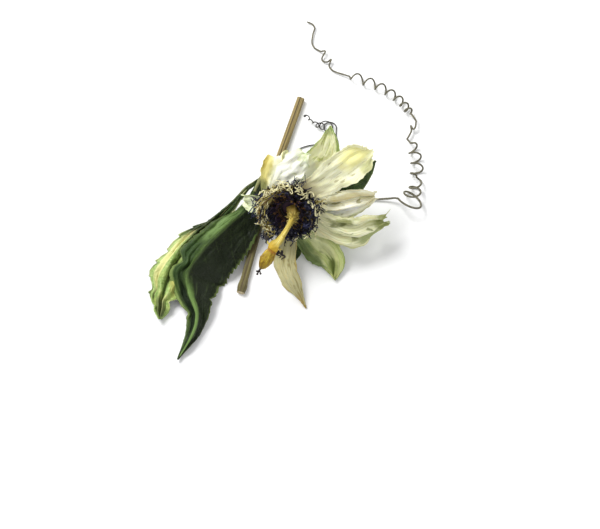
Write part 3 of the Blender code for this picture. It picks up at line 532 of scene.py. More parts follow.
def leafMaterial(name, look):
    # dried leaf: uneven green, fine net and slanting veins, its far part tinted apart, painted shade on one
    # half and in the fold valleys, painted highlights on the fold crests and along the rib
    made, tree, shader = startMaterial(name, roughness=0.6, gloss=0.22)
    u, v = growth(tree)
    off = calc(tree, "ABSOLUTE", calc(tree, "MULTIPLY_ADD", v, 2.0, -1.0))
    broad = speckle(tree, 120.0, 4.0)
    fine = speckle(tree, 1100.0, 4.0)
    fold = markOf(tree, "foldMark")
    tone = fade(tree, broad, 0.36, 0.66)
    colour = wash(tree, look["deep"], look["body"], tone)
    colour = wash(tree, colour, look["lit"], fade(tree, fine, 0.45, 0.75), 0.5)
    if "shade" in look:
        # painted shade: the half on one side of the rib darkened
        dark = fade(tree, calc(tree, "MULTIPLY_ADD", broad, 0.08, v), 0.5, 0.58)
        colour = wash(tree, colour, look["shade"], dark, look["shadeShare"], "MULTIPLY")
    if "late" in look:
        pale = wash(tree, look["lateDeep"], look["late"], tone)
        pale = wash(tree, pale, look["lateLit"], fade(tree, fine, 0.45, 0.7), 0.6)
        patch = fade(tree, speckle(tree, 170.0, 3.0, rough=0.5), 0.46, 0.7)
        pale = wash(tree, pale, look["latePatch"], patch, 0.75)
        change = fade(tree, calc(tree, "MULTIPLY_ADD", broad, 0.3, u), *look["lateFrom"])
        colour = wash(tree, colour, pale, change)
    slant = calc(tree, "MULTIPLY_ADD", off, -look["slant"], calc(tree, "MULTIPLY", u, float(look["veins"])))
    slant = calc(tree, "FRACT", calc(tree, "MULTIPLY_ADD", broad, 0.5, slant))
    side = fade(tree, calc(tree, "ABSOLUTE", calc(tree, "SUBTRACT", slant, 0.5)), 0.05, 0.012)
    mid = fade(tree, off, 0.04, 0.012)
    fineNet = fade(tree, cells(tree, 1000.0), 0.1, 0.02)
    coarseNet = fade(tree, cells(tree, 380.0), 0.05, 0.01)
    lines = calc(tree, "MAXIMUM", calc(tree, "MULTIPLY", mid, 0.9), calc(tree, "MULTIPLY", side, 0.7))
    lines = calc(tree, "MAXIMUM", lines, calc(tree, "MULTIPLY", fineNet, 0.25))
    lines = calc(tree, "MAXIMUM", lines, calc(tree, "MULTIPLY", coarseNet, 0.4))
    colour = wash(tree, colour, look["vein"], lines, look.get("veinShare", 0.5))
    # painted highlight on the fold crests, painted shade in the fold valleys
    colour = wash(tree, colour, look["crest"], fade(tree, fold, 0.7, 1.0), 0.5)
    colour = wash(tree, colour, look["valley"], fade(tree, fold, 0.4, 0.1), look.get("valleyShare", 0.7))
    # painted highlight along the rib's far part
    if "ribHighlight" in look:
        ridge = calc(tree, "MULTIPLY", fade(tree, off, 0.2, 0.06), fade(tree, u, 0.58, 0.7))
        colour = wash(tree, colour, look["ribHighlight"], ridge, 0.85)
    # patches: the leaf's own tints, with painted highlight and painted shade on the main lobe
    for place, tint, strength in look.get("patchesAndPaintedLight", ()):
        colour = wash(tree, colour, tint, oval(tree, u, v, place, broad), strength)
    margin = fade(tree, calc(tree, "MULTIPLY_ADD", broad, 0.3, off), 1.02, 1.18)
    colour = wash(tree, colour, look["margin"], margin, look.get("marginShare", 0.6))
    colour = wash(tree, look["back"], colour, markOf(tree, "upperFace"))
    plug(tree, shader.inputs["Base Color"], colour)
    plug(tree, shader.inputs["Roughness"], fade(tree, fine, 0.3, 0.7, 0.5, 0.78))
    grain = calc(tree, "MULTIPLY_ADD", fine, 0.5, calc(tree, "MULTIPLY", broad, 0.8))
    relief(tree, shader, calc(tree, "MULTIPLY_ADD", lines, -0.8, grain), strength=0.7, depth=0.0003)
    scatter(shader, weight=0.05, radius=(0.5, 0.8, 0.3), scale=0.0005)
    return made


def stemMaterial(name, look):
    # woody skin: lengthwise ribs and fibres, a dark groove on top, scattered blotches, darker towards its
    # foot as painted shade
    made, tree, shader = startMaterial(name, roughness=0.6)
    u, v = growth(tree)
    streak = speckle(tree, 1.0, 5.0, (look["run"], look["ribs"], 1.0), "UV", 0.65)
    blotch = speckle(tree, 330.0, 3.0)
    fine = speckle(tree, 2600.0, 3.0)
    colour = wash(tree, look["groove"], look["body"], fade(tree, streak, 0.34, 0.6))
    colour = wash(tree, colour, look["ridge"], fade(tree, streak, 0.54, 0.7))
    if "old" in look:
        # painted shade: darker towards the foot, where the leaf lies over the vine
        colour = wash(tree, colour, look["old"], fade(tree, u, 0.66, 0.3), 0.8, "MULTIPLY")
        fromMiddle = calc(tree, "SUBTRACT", v, 0.5)
        trench = calc(tree, "ABSOLUTE", calc(tree, "MULTIPLY_ADD", streak, 0.03, fromMiddle))
        colour = wash(tree, colour, look["groove"], fade(tree, trench, 0.05, 0.015), 0.9)
    colour = wash(tree, colour, look["blotch"], fade(tree, blotch, 0.55, 0.75), 0.5)
    plug(tree, shader.inputs["Base Color"], colour)
    plug(tree, shader.inputs["Roughness"], fade(tree, fine, 0.3, 0.7, 0.45, 0.75))
    grain = calc(tree, "MULTIPLY_ADD", streak, 1.3, calc(tree, "MULTIPLY", fine, 0.4))
    relief(tree, shader, grain, strength=0.6, depth=look.get("depth", 0.0003))
    return made


def filamentMaterial(name, look):
    # banded thread: dark foot, earthy waist, then a dark, ochre or cream end by the thread's own marks
    made, tree, shader = startMaterial(name, roughness=0.6, gloss=0.3)
    u = growth(tree)[0]
    own = markOf(tree, "ownTint")
    grey = speckle(tree, 420.0, 2.0)
    spot = calc(tree, "MULTIPLY_ADD", own, look["wander"], u)
    spot = calc(tree, "ADD", spot, calc(tree, "MULTIPLY", grey, 0.25))
    earthy = wash(tree, look["waist"], look["waistPale"], fade(tree, own, 0.25, 0.85))
    end = wash(tree, look["tip"], look["tipOther"], fade(tree, own, 0.45, 0.6))
    end = wash(tree, end, earthy, markOf(tree, "ochrePull"))
    end = wash(tree, end, look["cream"], markOf(tree, "creamPull"))
    first, last = look["bands"]
    blend = 0.14
    colour = wash(tree, look["foot"], earthy, fade(tree, spot, first, first + blend), 0.55)
    colour = wash(tree, colour, end, fade(tree, spot, last, last + blend))
    # blue-grey specks on the outer crown are painted highlights; on the collar and throat plain dark specks
    colour = wash(tree, colour, look["specksAndHighlights"], fade(tree, speckle(tree, 1500.0, 2.0), 0.54, 0.68), 0.5)
    plug(tree, shader.inputs["Base Color"], colour)
    return made


def fleshMaterial(name, look):
    # dried fleshy skin with lengthwise streaks, a tinted end and foot, and fine wrinkles
    made, tree, shader = startMaterial(name, roughness=0.5, gloss=0.3)
    u = growth(tree)[0]
    streak = speckle(tree, 1.0, 4.0, (look.get("run", 2.0), look.get("ribs", 14.0), 1.0), "UV", 0.6, 0.3)
    blotch = speckle(tree, 700.0, 4.0)
    fine = speckle(tree, 2400.0, 3.0)
    colour = wash(tree, look["deep"], look["body"], fade(tree, streak, 0.35, 0.62))
    colour = wash(tree, colour, look["lit"], fade(tree, streak, 0.56, 0.7), 0.8)
    colour = wash(tree, colour, look["deep"], fade(tree, blotch, 0.56, 0.7), 0.6)
    along = calc(tree, "MULTIPLY_ADD", streak, 0.2, u)
    endFrom, footTo, blend = look["endFrom"], look["footTo"], 0.12
    colour = wash(tree, colour, look["end"], fade(tree, along, endFrom, endFrom + blend))
    colour = wash(tree, colour, look["foot"], fade(tree, along, footTo, footTo - blend))
    plug(tree, shader.inputs["Base Color"], colour)
    plug(tree, shader.inputs["Roughness"], fade(tree, blotch, 0.3, 0.7, 0.36, 0.65))
    grain = calc(tree, "MULTIPLY_ADD", streak, 1.2, calc(tree, "MULTIPLY", blotch, 0.7))
    relief(tree, shader, calc(tree, "MULTIPLY_ADD", fine, 0.4, grain), strength=0.8, depth=0.00035)
    scatter(shader, weight=0.1, radius=(1.0, 0.6, 0.2), scale=0.0006)
    return made


print("frame loaded, helpers ready")

# vine: ridged stem in two straight lengths on its flat strip, two swollen joints, cut ends
vine = {
    "top": (10.6, 32.6), "knee": (1.03, 4.0), "foot": (-9.3, -36.2), "radius": 1.3, "flatHalfDeg": 25.0,
    "leafNodeY": 4.0, "nodeSwell": 0.35, "nodeHalf": 2.2, "lowNodeUp": 2.2, "lowSwell": 0.28, "lowHalf": 1.6,
    "rows": 420, "sides": 64, "ribCount": 7, "ribDepth": 0.05, "grooveDepth": 0.1, "grooveHalf": 0.16,
    "roughness": 0.03,
    "body": (0.34, 0.25, 0.075), "groove": (0.085, 0.06, 0.022), "ridge": (0.56, 0.44, 0.18),
    # the darkening towards the foot is painted shade where the leaf lies over the vine
    "blotch": (0.2, 0.17, 0.07), "old": (0.28, 0.34, 0.24), "ribs": 24.0, "run": 5.0,
}
pith = {"deep": (0.3, 0.22, 0.1), "body": (0.62, 0.52, 0.3), "lit": (0.72, 0.64, 0.44),
        "endFrom": 2.0, "end": (0.62, 0.52, 0.3), "footTo": -1.0, "foot": (0.62, 0.52, 0.3)}


def vineX(y):
    # straight from the foot to the knee, and from the knee to the top
    return np.interp(y, (vine["foot"][1], vine["knee"][1], vine["top"][1]),
                     (vine["foot"][0], vine["knee"][0], vine["top"][0]))


# the middle of the joint that carries the leaf, the flower and the tendril, on the surface
vineJoint = np.array([vineX(vine["leafNodeY"]), vine["leafNodeY"], 0.0])


def buildVine():
    # rings of ridges and grooves carried along the middle line; the lowest strip is held at z = 0
    y = np.linspace(vine["foot"][1], vine["top"][1], vine["rows"])
    line = np.stack([vineX(y), y, np.zeros(len(y))], axis=1)
    side = np.cross(unit(np.gradient(line, axis=0)), skyWay)
    fromLow = y - vine["foot"][1] - vine["lowNodeUp"]
    swell = 1 + vine["lowSwell"] * np.exp(-(fromLow / vine["lowHalf"]) ** 2)
    swell = swell + vine["nodeSwell"] * np.exp(-((y - vine["leafNodeY"]) / vine["nodeHalf"]) ** 2)
    flat = math.radians(vine["flatHalfDeg"])
    turn = np.linspace(-0.5 * math.pi + flat, 1.5 * math.pi - flat, vine["sides"])
    rib = np.cos(vine["ribCount"] * turn + 0.4)
    ridges = 1 - vine["ribDepth"] + vine["ribDepth"] * np.sign(rib) * np.abs(rib) ** 0.5
    ridges = ridges - vine["grooveDepth"] * np.exp(-((turn - 0.5 * math.pi) / vine["grooveHalf"]) ** 2)
    rough = vine["roughness"] * layeredNoise(y[:, None] * 0.35, turn[None, :] * 5, 4, 4)
    radius = vine["radius"] * swell[:, None] * (ridges[None, :] + rough)
    lateral = radius * np.cos(turn)
    height = np.maximum(vine["radius"] * math.cos(flat) + radius * np.sin(turn), 0.0)
    height[:, [0, -1]] = 0.0
    points = line[:, None, :] + lateral[..., None] * side[:, None, :] + height[..., None] * skyWay
    made = meshFrom("vineStem", loftSolid(points[:, ::-1]))
    finishPiece(made, stemMaterial("driedVineSkin", vine), "vine_stem")
    made.data.materials.append(fleshMaterial("vinePith", pith))
    slots = np.zeros(len(made.data.polygons), np.int32)
    slots[-2 * vine["sides"]:] = 1  # the fans of the two cut ends come last
    made.data.polygons.foreach_set("material_index", slots)
    sharp = made.data.attributes.new("sharp_face", "BOOLEAN", "FACE")
    sharp.data.foreach_set("value", slots.astype(bool))


buildVine()
print("vine done")

# flower stalk and floral cup
stalk = {"body": (0.27, 0.27, 0.09), "groove": (0.12, 0.12, 0.05), "ridge": (0.42, 0.42, 0.2),
         "blotch": (0.2, 0.17, 0.07), "ribs": 12.0, "run": 3.0, "rows": 60, "sides": 28,
         "start": (2.05, -0.6, 2.4), "firstWay": (2.4, -1.6, 1.6), "underBloom": 5.9, "lastWay": 3.4,
         "radii": (0.85, 1.13), "ribDepth": 0.07}
cup = {"profile": [(0.6, -5.6), (1.5, -5.3), (3.0, -4.2), (4.0, -2.9), (4.6, -1.4), (4.6, -0.2), (3.9, 0.0),
                   (0.4, 0.0)],
       "rows": 60, "sides": 72, "lobes": 10, "lobeDepth": 0.03,
       "deep": (0.2, 0.23, 0.08), "body": (0.38, 0.4, 0.17),
       "lit": (0.52, 0.52, 0.27), "endFrom": 0.84, "end": (0.06, 0.03, 0.05), "footTo": 0.12,
       "foot": (0.25, 0.28, 0.1)}


def buildStalkAndCup():
    # ribbed tube from the vine's joint, ending square under the cup; the cup is its profile turned round
    # the bloom's axis, with shallow lobes towards its rim
    start = vineJoint + stalk["start"]
    end = centre - stalk["underBloom"] * bloomN
    line = through([start, start + stalk["firstWay"], end - stalk["lastWay"] * bloomN, end], stalk["rows"])
    ribs = stalk["ribDepth"] * np.abs(np.sin(3.5 * fullTurn(stalk["sides"])))[None, :]
    ribs = skinOf(stalk["rows"], stalk["sides"], seed=8, amount=0.04, run=12.0) - ribs
    solid = tubeSolid(line, np.linspace(*stalk["radii"], stalk["rows"]), stalk["sides"], bloomX, ribs)
    finishPiece(meshFrom("flowerStalk", solid), stemMaterial("stalkSkin", stalk), "flower_stalk")
    coarse = np.array(cup["profile"])
    steps = np.linspace(0, len(coarse) - 1, cup["rows"])
    radius, height = readAt(steps, np.arange(len(coarse)), coarse).T
    lobes = cup["lobeDepth"] * np.cos(cup["lobes"] * fullTurn(cup["sides"]))[None, :]
    lobes = lobes * ramp(height, -6, -3)[:, None] - cup["lobeDepth"]
    solid = turnedSolid(radius, height, centre, bloomN, cup["sides"], lobes)
    finishPiece(meshFrom("floralCup", solid), fleshMaterial("cupSkin", cup), "floral_cup")


buildStalkAndCup()
print("stalk and cup done")

# tepals: five petals on the upper step of the cup, five sepals on the lower one
tissue = {"seed": 10, "crease": 0.42, "crush": 0.3, "curl": 0.7, "torn": 0.1, "fray": 1.2, "rows": 160,
          "cols": 66, "thick": 0.24, "root": 0.42, "ragged": 0.03}
seats = {"petal": {"height": -0.75, "inset": 0.0}, "sepal": {"height": -2.15, "inset": 0.25},
         "clawLength": 3.0, "clawRise": 0.1}
tepals = {
    "petal_1": {
        "turn": -20, "face": -20, "line": [(12.5, -6.4, -1.5), (21.5, -8.4, -1.8), (33.0, -3.0, -4.2)],
        "half": 6.0, "widest": 0.62, "blunt": 2.6, "cup0": 10, "cup1": -16, "pleat": 0.5, "pleats": 3,
        "ruffle": 0.8, "waves": 2.2, "phase": 0.6, "twist1": 12, "tip": 2.6, "split": 3.4, "crumple": 0.5,
        "crease": 0.5, "crush": 0.34,
        "ridges": ((0.05, 0.2, 1.5, 0.12), (-0.6, 0.2, 1.1, 0.08), (0.42, 0.14, -1.0, 0.1)),
        "look": {"pale": (0.82, 0.82, 0.58), "body": (0.64, 0.66, 0.36), "vein": (0.4, 0.4, 0.17),
                 "crest": (0.72, 0.64, 0.34), "valley": (0.17, 0.19, 0.06), "foot": (0.66, 0.62, 0.4),
                 "margin": (0.62, 0.6, 0.28), "tip": (0.24, 0.28, 0.06), "tipFrom": (0.98, 1.14),
                 "back": (0.45, 0.5, 0.25),
                 # the second stain is painted shade in the hollow under sepal_1's edge
                 "stainsAndPaintedLight": (((0.72, 0.22, 0.16, 0.16), (0.3, 0.36, 0.12), 0.8),
                            ((0.45, 0.85, 0.12, 0.14), (0.22, 0.24, 0.06), 0.8))}},
    "sepal_1": {
        "turn": 16, "face": 13, "line": [(12, 0.2, -1.5), (20, 1.4, 0.3), (28.6, 4.2, -0.2)],
        "half": 4.8, "widest": 0.55, "blunt": 2.6, "cup0": -8, "cup1": 40, "pleat": 0.5, "pleats": 3,
        "ruffle": 0.5, "waves": 2.0, "phase": 2.0, "twist1": -4, "tip": 1.4, "split": 1.2, "crumple": 0.4,
        "crease": 0.4, "ridges": ((-0.16, 0.2, 1.9, 0.08), (0.5, 0.16, 0.9, 0.06), (0.2, 0.12, -0.7, 0.05)),
        "look": {"pale": (0.98, 0.97, 0.84), "body": (0.94, 0.92, 0.68), "vein": (0.7, 0.64, 0.36),
                 "crest": (0.66, 0.54, 0.24), "crestShare": 0.75, "valley": (0.3, 0.28, 0.1),
                 "foot": (0.74, 0.7, 0.46), "margin": (0.74, 0.64, 0.3), "tip": (0.78, 0.72, 0.42),
                 "back": (0.5, 0.54, 0.28),
                 "stainsAndPaintedLight": (((0.66, 0.78, 0.4, 0.12), (0.7, 0.6, 0.28), 0.7),
                            ((0.5, 0.3, 0.34, 0.14), (0.95, 0.95, 0.9), 0.9))}},
    "petal_2": {
        "turn": 52, "face": 40, "line": [(9.8, 7.4, 6.0), (17.4, 12.6, 9.0), (25.8, 18.0, 9.8)],
        "half": 5.8, "widest": 0.72, "blunt": 5.0, "round": 0.6, "cup0": 5, "cup1": 14, "pleat": 0.05,
        "pleats": 4, "ruffle": 0.6, "waves": 2.0, "phase": 0.2, "tip": 3.4, "split": -1.4, "crumple": 0.35,
        "crease": 0.08, "folds": 4.2, "crush": 0.14,
        "ridges": ((0.5, 0.14, 0.4, 0.05), (-0.4, 0.2, -0.4, 0.05)),
        "look": {"pale": (0.9, 0.9, 0.68), "body": (0.82, 0.82, 0.5), "vein": (0.5, 0.46, 0.24),
                 "veins": 30, "veinShare": 0.7, "crest": (0.66, 0.58, 0.34), "valley": (0.42, 0.38, 0.19),
                 "foot": (0.46, 0.38, 0.17), "footShare": 0.9, "margin": (0.84, 0.82, 0.5),
                 "tip": (0.9, 0.88, 0.5),
                 "stainsAndPaintedLight": (((0.8, 0.62, 0.2, 0.34), (0.9, 0.85, 0.3), 0.7),
                            ((0.9, 0.15, 0.12, 0.2), (0.5, 0.52, 0.2), 0.7))}},
    "sepal_2": {
        "turn": 88, "face": 66, "line": [(6.2, 11, 0.9), (11.8, 18.4, 3.8), (13.2, 26.3, 8.0)],
        "half": 5.5, "widest": 0.56, "blunt": 1.9, "cup0": -10, "cup1": 50, "pleat": 0.2, "pleats": 2,
        "ruffle": 0.3, "waves": 1.5, "phase": 1.0, "twist1": 12, "crumple": 0.25, "crease": 0.3,
        "look": {"pale": (0.98, 0.98, 0.7), "body": (0.94, 0.95, 0.56), "vein": (0.7, 0.74, 0.34),
                 "crest": (0.86, 0.84, 0.44), "valley": (0.5, 0.55, 0.16), "foot": (0.9, 0.92, 0.6),
                 "margin": (0.26, 0.38, 0.07), "marginShare": 0.95, "tip": (0.34, 0.44, 0.1),
                 "tipFrom": (1.06, 1.24), "back": (0.3, 0.42, 0.1),
                 # the second stain, near white over the foot, is painted light over its shaded part
                 "stainsAndPaintedLight": (((0.66, 0.06, 0.34, 0.13), (0.24, 0.33, 0.07), 0.9),
                            ((0.2, 0.5, 0.36, 0.7), (0.97, 0.97, 0.86), 0.92))}},
    "petal_3": {
        "turn": 124, "face": 92, "line": [(-1.0, 10.8, 3.3), (4.0, 16.4, 6.6), (6.2, 17.2, 5.6)],
        "half": 4.4, "root": 0.36, "widest": 0.6, "blunt": 3.0, "cup0": 5, "cup1": -20, "pleat": 0.14,
        "pleats": 3, "ruffle": 0.5, "waves": 1.8, "phase": 3.0, "tip": 1.0, "crumple": 0.35,
        "crease": 0.1, "crush": 0.14,
        "look": {"pale": (0.98, 0.98, 0.88), "body": (0.95, 0.96, 0.8), "vein": (0.76, 0.78, 0.5),
                 "crest": (0.86, 0.86, 0.62), "valley": (0.6, 0.62, 0.36), "foot": (0.6, 0.56, 0.3),
                 "margin": (0.84, 0.87, 0.6), "tip": (0.6, 0.7, 0.34), "tipFrom": (0.9, 1.2),
                 "fleckColour": (0.42, 0.5, 0.2)}},
    "sepal_3": {
        "turn": 160, "face": 124, "line": [(-6.9, 8.8, -2.4), (-4.4, 16.3, -0.6), (-2.0, 14, -4.9)],
        "half": 4.8, "widest": 0.55, "blunt": 3.0, "cup0": -8, "cup1": 15, "pleat": 0.16, "pleats": 2,
        "ruffle": 0.5, "waves": 1.5, "phase": 0.5, "tip": 1.6, "crumple": 0.3, "crease": 0.14, "crush": 0.2,
        "tapers": ((1, -0.3, 0.0, 0.74),),
        "look": {"pale": (0.96, 0.95, 0.72), "body": (0.92, 0.9, 0.58), "vein": (0.72, 0.66, 0.3),
                 "crest": (0.8, 0.72, 0.36), "valley": (0.5, 0.46, 0.14), "foot": (0.7, 0.66, 0.34),
                 "margin": (0.7, 0.6, 0.18), "marginShare": 0.7, "tip": (0.8, 0.74, 0.34),
                 # the third stain, dark at the foot, is painted shadow of the gap beside it
                 "stainsAndPaintedLight": (((0.5, 0.8, 0.4, 0.34), (0.68, 0.6, 0.17), 0.85),
                            ((0.62, 0.95, 0.18, 0.16), (0.5, 0.4, 0.07), 0.8),
                            ((0.26, 0.85, 0.14, 0.4), (0.07, 0.09, 0.02), 0.8))}},
    "petal_4": {
        "turn": 196, "face": 182, "line": [(-11, 1.2, -2.6), (-14.8, 2.2, -4.0), (-14.0, 2.6, -6.6)],
        "half": 3.4, "widest": 0.5, "blunt": 2.2, "cup0": 5, "cup1": 40, "pleat": 0.3, "pleats": 2,
        "ruffle": 0.4, "waves": 1.6, "phase": 2.5, "crumple": 0.2,
        "look": {"pale": (0.86, 0.9, 0.64), "body": (0.74, 0.8, 0.46), "vein": (0.5, 0.55, 0.26),
                 "crest": (0.7, 0.7, 0.36), "valley": (0.32, 0.37, 0.14), "foot": (0.42, 0.4, 0.2),
                 "margin": (0.5, 0.58, 0.24), "tip": (0.45, 0.56, 0.22)}},
    "sepal_4": {
        "turn": 230, "face": 222, "line": [(-6.0, -5.5, -7.3), (-7.0, -6.0, -9.2), (-5.8, -5.2, -11.0)],
        "half": 3.0, "widest": 0.5, "blunt": 1.8, "cup0": 10, "cup1": 40, "pleat": 0.3, "pleats": 2,
        "ruffle": 0.4, "waves": 1.5, "phase": 1.1, "crumple": 0.2, "crease": 0.3,
        "look": {"pale": (0.72, 0.72, 0.5), "body": (0.58, 0.6, 0.34), "vein": (0.38, 0.4, 0.2),
                 "crest": (0.6, 0.56, 0.34), "valley": (0.26, 0.28, 0.13), "foot": (0.45, 0.42, 0.24),
                 "margin": (0.4, 0.44, 0.18), "tip": (0.36, 0.4, 0.16)}},
    "petal_5": {
        "turn": 268, "face": 268, "line": [(-1.4, -12, -6.8), (-1.2, -21, -6.0), (5.2, -32.8, -4.7)],
        "half": 4.1, "widest": 0.42, "blunt": 1.7, "cup0": 5, "cup1": -35, "pleat": 0.3, "pleats": 2,
        "ruffle": 0.35, "waves": 2.0, "phase": 0.4, "twist1": 25, "crumple": 0.2, "crease": 0.3,
        "ridges": ((-0.3, 0.16, 0.6, 0.06),),
        # cream tissue with tan edges, all its colours darkened as painted shade
        "look": {"pale": (0.56, 0.53, 0.3), "body": (0.46, 0.43, 0.21), "vein": (0.32, 0.28, 0.12),
                 "crest": (0.52, 0.44, 0.2), "valley": (0.26, 0.22, 0.08), "foot": (0.46, 0.42, 0.22),
                 "margin": (0.46, 0.33, 0.08), "marginShare": 0.85, "tip": (0.4, 0.26, 0.05),
                 "tipFrom": (1.0, 1.2)}},
    "sepal_5": {
        "turn": 304, "face": 308, "line": [(7.2, -10.5, -7.4), (13.6, -16.8, -8.0), (15.0, -23.4, -7.6)],
        "half": 5.7, "widest": 0.55, "blunt": 2.0, "cup0": -5, "cup1": 12, "pleat": 0.3, "pleats": 2,
        "ruffle": 0.6, "waves": 1.8, "phase": 4.0, "twist1": -14, "crumple": 0.45, "crease": 0.7, "curl": 1.6,
        "crush": 0.5,
        "ridges": ((0.3, 0.2, 1.2, 0.1), (-0.45, 0.18, 0.8, 0.08)),
        # the dark foot and the first, teal-green stain are painted shade
        "look": {"pale": (0.66, 0.7, 0.34), "body": (0.46, 0.54, 0.18), "vein": (0.28, 0.34, 0.1),
                 "crest": (0.56, 0.56, 0.24), "valley": (0.13, 0.19, 0.06), "foot": (0.1, 0.17, 0.07),
                 "footShare": 0.85, "margin": (0.22, 0.32, 0.06), "marginShare": 0.9,
                 "tip": (0.42, 0.42, 0.12), "back": (0.24, 0.32, 0.1),
                 "stainsAndPaintedLight": (((0.44, 0.1, 0.42, 0.3), (0.12, 0.18, 0.06), 0.8),
                            ((0.52, 0.62, 0.26, 0.24), (0.74, 0.76, 0.44), 0.75),
                            ((0.86, 0.5, 0.14, 0.3), (0.2, 0.26, 0.06), 0.75))}},
}


def placedBlade(spec, claw, faceDeg):
    # the claw's (radius, height) pairs at the piece's turn, its own points, and the way its width lies
    turn, face = math.radians(spec["turn"]), math.radians(faceDeg)
    spec["line"] = [bloomPoint(radius, turn, height) for radius, height in claw] + [
        leanPoint(p) for p in spec["line"]]
    spec["side"] = -math.sin(face) * bloomX + math.cos(face) * bloomY
    return spec


def tepalSpec(name):
    # seat on the cup first, then the piece's own points out along the lean
    spec = {**tissue, **tepals[name]}
    own = seats[name.split("_")[0]]
    seat = bloom["cupRadius"] + bloom["seatGap"] - own["inset"]
    claw = [(seat, own["height"]), (seat + seats["clawLength"], own["height"] + seats["clawRise"])]
    return placedBlade(spec, claw, spec["face"])


def buildTepals():
    # each from the shared tissue, its own spec and its own seed
    for count, name in enumerate(tepals):
        spec = tepalSpec(name)
        spec["seed"] = tissue["seed"] + count
        made = meshFrom(name.replace("_", ""), bladeSolid(spec))
        skin = petalMaterial(name.replace("_", "") + "Tissue", spec["look"])
        finishPiece(made, skin, name)


buildTepals()
print("tepals done")

# three bracts under the cup
bracts = {
    "bract_1": {"turn": 40, "half": 4.2, "line": [(12, 5.4, -4.6), (21.5, 8.6, -3.4), (28.2, 15.4, -0.6)]},
    "bract_2": {"turn": -80, "half": 3.3,
                "line": [(1.8, -9.3, -10.3), (1.4, -15.3, -10.5), (-0.2, -20.0, -9.6)]},
    "bract_3": {"turn": 160, "half": 3.6, "line": [(-4, 4.5, -8.0), (-7.0, 7.0, -9.0), (-8.6, 9.0, -10.2)]},
}
bractTissue = {"root": 0.3, "widest": 0.5, "blunt": 1.8, "cup0": 20, "cup1": 40, "ruffle": 0.4, "waves": 2.0,
               "phase": 0.7, "ragged": 0.03, "crease": 0.2, "crush": 0.15, "curl": 0.4, "torn": 0.08,
               "veins": 7, "quilt": 0.15, "rows": 90, "cols": 40, "thick": 0.24, "seed": 40,
               "claw": [(1.62, -6.1), (4.2, -5.9)]}
bractLook = {"deep": (0.012, 0.022, 0.006), "body": (0.035, 0.062, 0.018), "lit": (0.08, 0.13, 0.035),
             "vein": (0.14, 0.19, 0.07), "margin": (0.22, 0.24, 0.1), "back": (0.2, 0.26, 0.14),
             "crest": (0.16, 0.22, 0.1), "valley": (0.015, 0.03, 0.012), "veins": 7, "slant": 1.6}


def buildBracts():
    # each from the shared tissue, with its claw at the stalk's top
    skin = leafMaterial("bractTissue", bractLook)
    for count, (name, own) in enumerate(bracts.items()):
        spec = placedBlade({**bractTissue, **own}, bractTissue["claw"], own["turn"])
        spec["seed"] = bractTissue["seed"] + count
        made = meshFrom(name.replace("_", ""), bladeSolid(spec))
        finishPiece(made, skin, name)


buildBracts()
print("bracts done")

